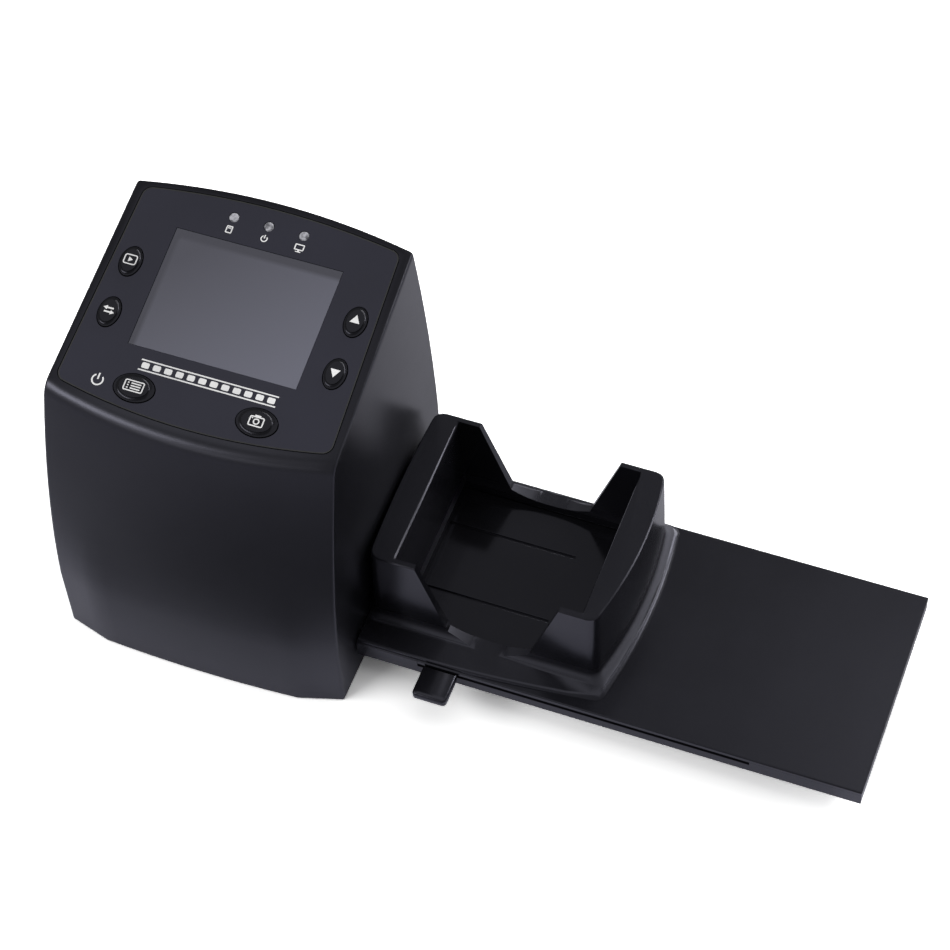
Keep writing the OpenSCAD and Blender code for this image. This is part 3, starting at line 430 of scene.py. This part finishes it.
def welded_copy(node, name):
    """A copy of a solid as one welded mesh."""
    source = frame["nodes"][node]
    piece = bpy.data.objects.new(name, source.data.copy())
    bpy.context.scene.collection.objects.link(piece)
    alone(piece)
    bpy.ops.mesh.customdata_custom_splitnormals_clear()
    edit()
    bpy.ops.mesh.remove_doubles(threshold=WELD)
    done()
    return piece


def rides(piece, body, material):
    """Gives a finished piece its material, its slot and the body that carries it."""
    piece.data.materials.clear()
    piece.data.materials.append(material)
    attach(piece, body)


print("points closer than this are welded (mm):", WELD / MM)

# %% [markdown]
# ## The rims and the foot of the hopper
# The hopper holds the stack of slides. Its two inner rims lead the slides in, and have a wider
# chamfer than other edges. Its foot runs out to the feeder in a hollow and then a rounded rim,
# which the solid makes in steps. A table of heights moves the points of the foot's outer end,
# so that it slopes more evenly and catches one broad light, and the blunt edges between the
# steps are shaded as one curve. The stretch below the two finger notches is left alone, because
# a wide flat face there would be shaded as if it bulged.

# %% Chamfers, the foot's end and its flowing shade
SMOOTH_ANGLE, BREAK_ANGLE, BEVEL_STEPS = 34, 32, 2
ON_LINE = 0.02 * MM
WEIGHTS = "bevel_weight_edge"
FOOT_HEIGHTS = ((15.3, 15.3), (15.53, 15.45), (15.75, 15.62), (15.94, 15.85), (16.08, 16.1),
                (16.17, 16.32), (16.2, 16.5), (16.35, 16.8), (16.43, 17.02), (16.67, 17.3),
                (17.05, 17.6), (17.55, 17.92), (18.13, 18.3), (18.75, 18.75))
FOOT_FROM, FOOT_FULL = 34 * MM, 39 * MM
NOTCH_MIDDLE, NOTCH_HALF = 5.3 * MM, 25 * MM


def smooth(piece, angle):
    alone(piece)
    bpy.ops.object.shade_smooth_by_angle(angle=math.radians(angle), keep_sharp_edges=False)


def chamfered_line(piece, x, z, width):
    """Gives the long edge that runs along Y at one place a wider, flat chamfer."""
    weights = piece.data.attributes.new(WEIGHTS, "FLOAT", "EDGE")
    points = piece.data.vertices
    for edge in piece.data.edges:
        ends = [points[i].co for i in edge.vertices]
        if all(abs(end.x - x) < ON_LINE and abs(end.z - z) < ON_LINE for end in ends):
            weights.data[edge.index].value = 1.0
    modifier(piece, "BEVEL", width=width, segments=1, limit_method="WEIGHT", harden_normals=True)
    piece.data.attributes.remove(piece.data.attributes[WEIGHTS])


def sloping_foot(piece):
    """Moves the foot's outer end from the first to the second of each pair of heights (mm)."""
    for point in piece.data.vertices:
        height = point.co.z / MM
        share = min(max((point.co.x - FOOT_FROM) / (FOOT_FULL - FOOT_FROM), 0), 1)
        if share and FOOT_HEIGHTS[0][0] < height < FOOT_HEIGHTS[-1][0]:
            for (low, new_low), (high, new_high) in zip(FOOT_HEIGHTS, FOOT_HEIGHTS[1:]):
                if low <= height <= high:
                    along = (height - low) / (high - low)
                    target = new_low + along * (new_high - new_low)
                    point.co.z += share * (target - height) * MM
                    break


def flowing_zone(piece, low, high, steepest):
    """Shades the blunt edges between two heights as one curve and bevels only the others."""
    shape = bmesh.new()
    shape.from_mesh(piece.data)
    weight = shape.edges.layers.float.new(WEIGHTS)
    for edge in shape.edges:
        if len(edge.link_faces) != 2:
            continue
        turn = math.degrees(edge.calc_face_angle(0))
        inside = all(low < end.co.z < high and abs(end.co.x - NOTCH_MIDDLE) > NOTCH_HALF
                     for end in edge.verts)
        if inside and turn < steepest:
            edge.smooth = True
        elif turn > BREAK_ANGLE:
            edge[weight] = 1.0
    shape.to_mesh(piece.data)
    shape.free()


print("the foot's end moves by up to (mm):",
      round(max(abs(new - old) for old, new in FOOT_HEIGHTS), 2))

# %% [markdown]
# ## Broken edges
# No moulding has a knife edge: a narrow rounding always catches a thin line of light, and
# without it a render looks like a drawing. A bevel of about a tenth of a millimetre does that.
# It is told to leave the shading of the flat faces beside it alone, or they would look swollen.

# %% Softening a solid
def softened(node, body, material, width, rims=(), flowing=None):
    """A welded copy with narrow bevels on its sharp edges, in place of the solid."""
    piece = welded_copy(node, node + "_skin")
    if flowing:
        sloping_foot(piece)
    smooth(piece, SMOOTH_ANGLE)
    for x, z, wide in rims:
        chamfered_line(piece, x, z, wide)
    if flowing:
        flowing_zone(piece, *flowing)
    if width:
        modifier(piece, "BEVEL", width=width, segments=BEVEL_STEPS,
                 limit_method="WEIGHT" if flowing else "ANGLE",
                 angle_limit=math.radians(BREAK_ANGLE), miter_outer="MITER_ARC",
                 harden_normals=True)
    rides(piece, body, material)
    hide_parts(node)
    print(node, "faces:", len(piece.data.polygons))


print("edges sharper than this are broken (degrees):", BREAK_ANGLE)

# %% [markdown]
# ## The housing and the panel
# The curved walls of the housing are already in the solid, so a welded and softened copy keeps
# every size, and only the edges and the shading change. The panel is a film with a thin edge
# and the pane a plate of its own, and both get a finer bevel.

# %% Housing, panel and pane
softened("housing", "scanner", shell_finish, 0.16 * MM)
softened("control_panel", "scanner", panel_finish, 0.08 * MM)
softened("display_window", "scanner", pane_finish, 0.1 * MM)

# %% [markdown]
# ## The feeder and the pusher
# The feeder's cover carries the hopper with its rims and foot. The pusher plate lies under the
# hopper and takes the lowest slide along, and its tab is what the finger moves.

# %% Feeder and pusher
RIM_TOP, POCKET_LEFT, POCKET_RIGHT = 45.3 * MM, -22.66 * MM, 33.26 * MM
LEFT_CHAMFER, RIGHT_CHAMFER = 0.45 * MM, 0.25 * MM
FLOW_LOW, FLOW_HIGH, FLOW_ANGLE = 15.32 * MM, 26 * MM, 75

softened("feeder_cover", "feeder", feeder_finish, 0.16 * MM,
         rims=((POCKET_LEFT, RIM_TOP, LEFT_CHAMFER), (POCKET_RIGHT, RIM_TOP, RIGHT_CHAMFER)),
         flowing=(FLOW_LOW, FLOW_HIGH, FLOW_ANGLE))
softened("feeder_base", "feeder", feeder_finish, 0.1 * MM)
softened("pusher_plate", "pusher", plate_finish, 0.1 * MM)
softened("pusher_tab", "pusher", feeder_finish, 0.12 * MM)

# %% [markdown]
# ## Buttons and lights
# Each button is a crowned oval on a body of its own, because it can be pressed. The three
# lights are the ends of moulded rods, round and small, and stay as sharp as they are.

# %% Buttons and lights
BUTTONS = ("play_button", "flip_button", "up_button", "down_button", "menu_button",
           "capture_button")
for button in BUTTONS:
    softened(button, button, button_finish, 0.1 * MM)
softened("indicator_lights", "scanner", pipe_finish, 0.0)

# %% [markdown]
# ## The seam around the panel
# The panel lies in a recess of the housing, and the gap between them reads as a dark line. It
# could be painted on, but a line of its own stays crisp. The panel's top is copied and inset,
# which leaves bands along its outer edge and round each of its openings. The band that holds
# the leftmost point is the outer one. It is kept and pulled up by a fiftieth of a millimetre.

# %% A dark band along the seam
SEAM_WIDTH, SEAM_THICKNESS = 0.32 * MM, 0.02 * MM
LEVEL_WITH_PANEL = 0.999


def thickened(way):
    """Pulls all of a flat mesh along a vector, in edit mode, and turns its faces outwards."""
    bpy.ops.mesh.extrude_region_move(TRANSFORM_OT_translate={"value": way})
    bpy.ops.mesh.select_all(action="SELECT")
    bpy.ops.mesh.normals_make_consistent(inside=False)
    done()


seam = welded_copy("control_panel", "panel_seam")
edit("DESELECT")
bpy.ops.mesh.select_mode(type="FACE")
done()
for face in seam.data.polygons:
    face.select = face.normal.dot(panel_normal) < LEVEL_WITH_PANEL
bpy.ops.object.mode_set(mode="EDIT")
bpy.ops.mesh.delete(type="FACE")
bpy.ops.mesh.select_all(action="SELECT")
bpy.ops.mesh.inset(thickness=SEAM_WIDTH)
bpy.ops.mesh.delete(type="FACE")
bpy.ops.mesh.select_mode(type="VERT")
done()
leftmost = min(seam.data.vertices, key=lambda vertex: vertex.co.x)
leftmost.select = True
bpy.ops.object.mode_set(mode="EDIT")
bpy.ops.mesh.select_linked()
bpy.ops.mesh.select_all(action="INVERT")
bpy.ops.mesh.delete(type="VERT")
bpy.ops.mesh.select_all(action="SELECT")
thickened(panel_normal * SEAM_THICKNESS)
rides(seam, "scanner", foot_finish)
print("seam faces:", len(seam.data.polygons))

# %% [markdown]
# ## Printed symbols
# The symbols are pad-printed in white ink, a film thinner than a hair. Each is drawn flat from
# bars, frames, rings and triangles that touch but never overlap, since two faces in one plane
# would shade each other. The numbers in these calls are millimetres and degrees.

# %% Bars, frames and triangles
def drawn():
    """Works the place, turn and scale of the object just added into its mesh."""
    bpy.ops.object.transform_apply(location=True, rotation=True, scale=True)
    return bpy.context.object


def bar(x, y, width, height, turn=0.0, corner=0.0):
    """A filled rectangle; a corner radius rounds it."""
    bpy.ops.mesh.primitive_plane_add(size=MM, location=(x * MM, y * MM, 0),
                                     rotation=(0, 0, math.radians(turn)))
    bpy.context.object.scale = (width, height, 1)
    piece = drawn()
    if corner:
        edit()
        bpy.ops.mesh.bevel(offset=corner * MM, segments=4, affect="VERTICES")
        done()
    return piece


def outline(x, y, width, height, line, corner):
    """A rounded rectangle, hollowed by an inset as wide as its line."""
    piece = bar(x, y, width, height, corner=corner)
    edit()
    bpy.ops.mesh.inset(thickness=line * MM)
    bpy.ops.mesh.delete(type="FACE")
    done()
    return piece


def triangle(x, y, radius, turn=0.0):
    """A filled triangle that points up before it is turned."""
    bpy.ops.mesh.primitive_circle_add(vertices=3, radius=radius * MM, fill_type="NGON",
                                      location=(x * MM, y * MM, 0),
                                      rotation=(0, 0, math.radians(turn)))
    return drawn()


print("parts of a symbol:", [part.__name__ for part in (bar, outline, triangle)])

# %% [markdown]
# ## Rings
# A ring is one short edge, as long as the line is wide, spun round a middle. The edge is what
# stays of a small square when its far points are deleted. A ring that doesn't close makes the
# open circle of the sign for power.

# %% Rings and arcs
RING_STEPS = 32
RING_WELD = 0.001 * MM


def arc(x, y, radius, line, start=0.0, sweep=360.0):
    """A ring or part of one, spun from one short edge that starts on a circle."""
    turn = math.radians(start)
    middle = Vector((x, y, 0)) * MM
    out = Vector((math.cos(turn), math.sin(turn), 0))
    bpy.ops.mesh.primitive_plane_add(size=line * MM, location=middle + out * radius * MM,
                                     rotation=(0, 0, turn))
    piece = drawn()
    along = Vector((-out.y, out.x, 0))
    edit("DESELECT")
    done()
    for vertex in piece.data.vertices:
        vertex.select = (vertex.co - middle).dot(along) > 0
    bpy.ops.object.mode_set(mode="EDIT")
    bpy.ops.mesh.delete(type="VERT")
    bpy.ops.mesh.select_all(action="SELECT")
    bpy.ops.mesh.spin(steps=RING_STEPS, angle=math.radians(sweep), center=middle,
                      axis=(0, 0, -1))
    bpy.ops.mesh.select_all(action="SELECT")
    bpy.ops.mesh.remove_doubles(threshold=RING_WELD)
    done()
    return piece


print("steps in a ring:", RING_STEPS)

# %% [markdown]
# ## From a drawing to a print
# The parts of a sign are joined, get the thickness of the ink and are laid on the panel, or
# higher up on the crown of a button, where they ride with that button.

# %% Laying a symbol on the slope
INK = 0.03 * MM
CROWN = 0.9 * MM


def printed(name, parts, body, x, up, height=0.0):
    """Joins the parts, gives them the ink's thickness and lays them on the slope."""
    alone(*parts)
    if len(parts) > 1:
        bpy.ops.object.join()
    piece = bpy.context.object
    piece.name = name
    edit()
    thickened((0, 0, INK))
    piece.matrix_world = ON_PANEL @ Matrix.Translation((x * MM, up * MM, height))
    drawn()
    rides(piece, body, white_print)
    print(name, "faces:", len(piece.data.polygons))


print("thickness of the ink (mm):", INK / MM)

# %% [markdown]
# ## What the buttons do
# The four small buttons show a picture, turn it over and step up and down a list. The left big
# one opens a list of settings and the right one takes the picture. Each has its usual sign.

# %% Symbols on the buttons
SMALL_X, UPPER_ROW, LOWER_ROW = 33.5, 5.2, -10.9
BIG_X, FRONT_ROW = 18.1, -30.4
LIST_ROWS = (-0.75, 0, 0.75)

printed("play_sign", [outline(0, 0, 3.9, 3.1, 0.34, 0.7), triangle(-0.12, 0, 0.86, -90)],
        "play_button", -SMALL_X, UPPER_ROW, CROWN)
printed("flip_sign",
        [bar(0.3, 0.62, 1.9, 0.46), triangle(-1.04, 0.62, 0.78, 90),
         bar(-0.3, -0.62, 1.9, 0.46), triangle(1.04, -0.62, 0.78, -90)],
        "flip_button", -SMALL_X, LOWER_ROW, CROWN)
printed("up_sign", [triangle(0, 0, 1.65)], "up_button", SMALL_X, UPPER_ROW, CROWN)
printed("down_sign", [triangle(0, 0, 1.65, 180)], "down_button", SMALL_X, LOWER_ROW, CROWN)
printed("list_sign",
        [outline(0, 0, 5.8, 3.3, 0.34, 0.5)]
        + [bar(0.55, row, 2.9, 0.36) for row in LIST_ROWS]
        + [bar(-1.75, row, 0.45, 0.36) for row in LIST_ROWS],
        "menu_button", -BIG_X, FRONT_ROW, CROWN)
printed("camera_sign",
        [outline(0, -0.25, 4.3, 3.0, 0.36, 0.5), bar(0, 1.45, 1.7, 0.4),
         arc(0, -0.25, 0.72, 0.36), bar(-1.4, 0.6, 0.4, 0.34)],
        "capture_button", BIG_X, FRONT_ROW, CROWN)

# %% [markdown]
# ## Signs on the panel
# Beside the left big button stands the usual sign for power. Each light has its own small sign:
# a memory card, power and a computer's screen.

# %% Symbols on the panel
LIGHT_PITCH, LIGHT_SIGNS = 10.5, 21.9
POWER_OPENS, POWER_SWEEP = 130, 280

printed("power_sign", [arc(0, 0, 1.55, 0.45, POWER_OPENS, POWER_SWEEP), bar(0, 1.05, 0.45, 1.9)],
        "scanner", -28.9, -31.0)
printed("card_sign",
        [outline(0, 0, 1.9, 2.3, 0.32, 0.3)] + [bar(x, 0.45, 0.22, 0.5) for x in (-0.35, 0, 0.35)],
        "scanner", -LIGHT_PITCH, LIGHT_SIGNS)
printed("light_power_sign",
        [arc(0, 0, 0.85, 0.32, POWER_OPENS, POWER_SWEEP), bar(0, 0.6, 0.32, 1.1)],
        "scanner", 0, LIGHT_SIGNS)
printed("screen_sign",
        [outline(0, 0.2, 2.8, 1.9, 0.32, 0.25), bar(0, -0.93, 0.5, 0.36), bar(0, -1.24, 1.6, 0.26)],
        "scanner", LIGHT_PITCH, LIGHT_SIGNS)

# %% [markdown]
# ## The strip of film
# Under the display runs a strip of film. Its holes are all alike, so one is drawn and repeated
# at an even pitch by a modifier, between two long bars.

# %% A strip of film
STRIP_ROW, STRIP_LEFT, STRIP_PITCH, STRIP_COUNT = -23.4, -17.6, 3.38, 12
STRIP_EDGE, STRIP_LINE = 1.5, 0.4

hole = bar(STRIP_LEFT, 0, 2.2, 1.7, corner=0.4)
modifier(hole, "ARRAY", count=STRIP_COUNT, use_relative_offset=False, use_constant_offset=True,
         constant_offset_displace=(STRIP_PITCH * MM, 0, 0))
strip_middle = STRIP_LEFT + STRIP_PITCH * (STRIP_COUNT - 1) / 2
strip_length = STRIP_PITCH * STRIP_COUNT
printed("film_strip_sign",
        [hole, bar(strip_middle, STRIP_EDGE, strip_length, STRIP_LINE),
         bar(strip_middle, -STRIP_EDGE, strip_length, STRIP_LINE)],
        "scanner", 0, STRIP_ROW)

# %% [markdown]
# ## Pieces that keep their solids
# Boards, screws, sockets and feet have plain shapes and sit inside or below, and a finish is
# all they need.

# %% Finishes on the plain solids
PLAIN = {
    board_finish: ("control_board", "main_board", "sensor_board", "backlight_board"),
    steel_finish: ("display_module", "tact_switches", "card_socket", "usb_socket"),
    screw_finish: ("board_screws", "frame_screws", "base_screws", "feeder_screws"),
    frame_finish: ("optical_frame", "lens_barrel", "base_plate", "image_sensor"),
    milky_finish: ("diffuser",),
    lens_finish: ("lens_glass",),
    foot_finish: ("rubber_feet",),
}
for finish, names in PLAIN.items():
    for name in names:
        slots = frame["nodes"][name].data.materials
        slots.clear()
        slots.append(finish)
print("plain solids:", sum(len(names) for names in PLAIN.values()))

# %% [markdown]
# ## A table with two faces
# A white table fills the picture, and only the object's shadow is to show on it. A table that
# is white for everything would also be mirrored all over the dark plastic and turn it grey. So
# the camera sees a white table that keeps the shadow and glows far out, where the lamps don't
# reach. The object is lit by a grey one, and mirrors that one with a small share of the white.
# A painted dark patch in front, which is painted shade, and a painted pale band close to the
# object, which is painted light, shape what the housing mirrors.

# %% Table
TABLE_HALF = 4.0
WHITE, MIRRORED = 1.95, 0.039
GREY_TABLE = (0.46, 0.46, 0.52, 1)
# The dark patch is painted shade and the pale band painted light: the object mirrors both and is
# lit by them, and the camera sees neither.
PAINTED_SHADE_PATCH, PATCH_MIDDLE = (0.1, 0.1, 0.12, 1), (-0.03, -0.13, 0.0)
PATCH_INNER, PATCH_OUTER = 40 * MM, 140 * MM
PAINTED_LIGHT_BAND = (0.86, 0.86, 1.0, 1)
BAND_STARTS, BAND_FULL, BAND_FADES, BAND_ENDS = -85 * MM, -50 * MM, -30 * MM, 0
GLOW_STARTS, GLOW_FULL = 0.45, 0.8


def white_table(name):
    finish = Finish(name)
    # The grey table for the object, with painted shade in a dark patch in front of it.
    far = finish.node("ShaderNodeVectorMath", {"operation": "DISTANCE"},
                      {0: finish.place, 1: PATCH_MIDDLE})
    fade = finish.span(Wire(finish, far.outputs["Value"]), PATCH_INNER, PATCH_OUTER, 0, 1)
    tone = finish.blend(fade, PAINTED_SHADE_PATCH, GREY_TABLE)
    # Painted light: a pale band on the table close in front of the object.
    depth = finish.split(finish.place)[1]
    band = (finish.span(depth, BAND_STARTS, BAND_FULL, 0, 1)
            * finish.span(depth, BAND_FADES, BAND_ENDS, 1, 0))
    finish.set(Base_Color=finish.blend(band, tone, PAINTED_LIGHT_BAND), Roughness=0.9,
               Specular_IOR_Level=0.0)

    white = finish.node("ShaderNodeBsdfDiffuse", None, {"Color": (WHITE, WHITE, WHITE, 1)})
    glow = finish.node("ShaderNodeEmission", None, {"Color": (1, 1, 1, 1), "Strength": 1.0})
    spread = finish.node("ShaderNodeVectorMath", {"operation": "LENGTH"}, {0: finish.place})
    outer = finish.span(Wire(finish, spread.outputs["Value"]), GLOW_STARTS, GLOW_FULL, 0, 1)

    ray = finish.node("ShaderNodeLightPath")
    seen = Wire(finish, ray.outputs["Is Camera Ray"])
    mirrored = (Wire(finish, ray.outputs["Is Glossy Ray"])
                + Wire(finish, ray.outputs["Is Transmission Ray"]))
    share = (seen + mirrored * MIRRORED).clamped()
    finish.shows(finish.mixed(share, finish.shader, finish.mixed(outer, white, glow)))
    return finish.material


bpy.ops.mesh.primitive_grid_add(x_subdivisions=4, y_subdivisions=4, size=2 * TABLE_HALF)
table = bpy.context.object
table.name = "table_top"
table.data.materials.append(white_table("white_table"))
print("table, from side to side (m):", 2 * TABLE_HALF)

# %% [markdown]
# ## The surround
# Beyond the table lies an even white surround. The camera sees it at full strength, and to the
# object it is a dim light from all sides that keeps the shadows open.

# %% Surround
SURROUND = 0.3

world = bpy.data.worlds.new("studio")
bpy.context.scene.world = world
world.use_nodes = True
sky = world.node_tree
rays = sky.nodes.new("ShaderNodeLightPath")
background = sky.nodes["Background"]
brighter = sky.nodes.new("ShaderNodeMath")
brighter.operation = "MULTIPLY_ADD"
brighter.inputs[1].default_value = 1 - SURROUND
brighter.inputs[2].default_value = SURROUND
sky.links.new(rays.outputs["Is Camera Ray"], brighter.inputs[0])
sky.links.new(brighter.outputs[0], background.inputs["Strength"])
background.inputs["Color"].default_value = (1, 1, 1, 1)
print("surround, for the object and for the camera:", SURROUND, 1)

# %% [markdown]
# ## Soft boxes
# Dark plastic is lit by what it mirrors more than by what falls on it, so each box has one
# surface to serve: the overhead one the panel and the hopper's rims, the front ones the
# housing's front, those on the right and behind the side wall, the foot and the plate. Width
# and height are in metres, and the last number is the brightness of the box's face.

# %% Soft boxes
SOFT_BOXES = {  # name: middle, the point it faces, width, height, brightness
    "overhead_box": ((-0.05, -0.01, 1.2), (-0.05, -0.01, 0), 1.9, 0.68, 0.62),
    "end_box": ((0.08, 0.7, 1.2), (0.08, 0.7, 0), 0.22, 0.26, 1.1),
    "rear_box": ((0.9, 0.8, 0.95), (0, 0, 0.05), 0.28, 0.3, 16.0),
    "front_box": ((-1.02, -0.88, 0.9), (0, 0, 0.08), 1.1, 0.46, 7.3),
    "front_fill": ((-0.6, -1.5, 0.5), (0, 0, 0.08), 0.8, 0.4, 1.4),
    "side_box": ((1.15, 0.75, 0.5), (0, 0, 0.05), 0.5, 0.4, 2.0),
    "edge_box": ((1.14, 0.77, 0.4), (0, 0, 0.05), 0.22, 0.2, 8.0),
    "back_box": ((0.3, 1.1, 0.5), (0.05, 0.15, 0), 1.2, 0.5, 6.0),
}


def soft_box(name, middle, aim, width, height, brightness):
    """An area light that shines from its middle to a point with an even brightness."""
    light = bpy.data.lights.new(name, "AREA")
    light.shape = "RECTANGLE"
    light.size, light.size_y = width, height
    light.energy = brightness * width * height * math.pi
    holder = bpy.data.objects.new(name, light)
    bpy.context.scene.collection.objects.link(holder)
    holder.location = middle
    holder.rotation_mode = "QUATERNION"
    holder.rotation_quaternion = (Vector(aim) - Vector(middle)).to_track_quat("-Z", "Y")


for name, box in SOFT_BOXES.items():
    soft_box(name, *box)
print("lights:", len(bpy.data.lights))

# %% [markdown]
# ## Camera
# The camera stands in front, turned a little to the right, and looks down on the panel from
# well above, with a long lens that keeps the lines nearly parallel. It is placed by the way it
# looks: three directions are worked out from its turn and slope, and it is set back along them
# from a point on the object.

# %% Camera
VIEW_TURN = math.radians(23.13)
VIEW_DOWN = math.radians(53.82)
VIEW_ROLL = math.radians(3.30)
FOCAL_PIXELS = 2970.4
PICTURE_PIXELS = 950
AIM = Vector((-15.5, 3.4, 40.0)) * MM
ASIDE, ABOVE = -9.27 * MM, -12.39 * MM
AWAY = 849.3 * MM
NEAREST, FARTHEST = 0.05, 20

right = Vector((math.cos(VIEW_TURN), math.sin(VIEW_TURN), 0))
ahead = Vector((-math.sin(VIEW_TURN) * math.cos(VIEW_DOWN),
                math.cos(VIEW_TURN) * math.cos(VIEW_DOWN), -math.sin(VIEW_DOWN)))
above = right.cross(ahead)
turned_right = math.cos(VIEW_ROLL) * right - math.sin(VIEW_ROLL) * above
turned_up = math.sin(VIEW_ROLL) * right + math.cos(VIEW_ROLL) * above
axes = Matrix((turned_right, turned_up, -ahead)).transposed()
place = AIM - ASIDE * right - ABOVE * above - AWAY * ahead

optics = bpy.data.cameras.new("camera")
optics.lens = FOCAL_PIXELS / PICTURE_PIXELS * optics.sensor_width
optics.clip_start, optics.clip_end = NEAREST, FARTHEST
camera = bpy.data.objects.new("camera", optics)
bpy.context.scene.collection.objects.link(camera)
camera.matrix_world = Matrix.Translation(place) @ axes.to_4x4()
bpy.context.scene.camera = camera
bpy.context.scene.view_settings.view_transform = "Standard"
print("camera (mm):", [round(v / MM) for v in place])

# %% [markdown]
# ## The end
# Dressing must not change the size of the object.
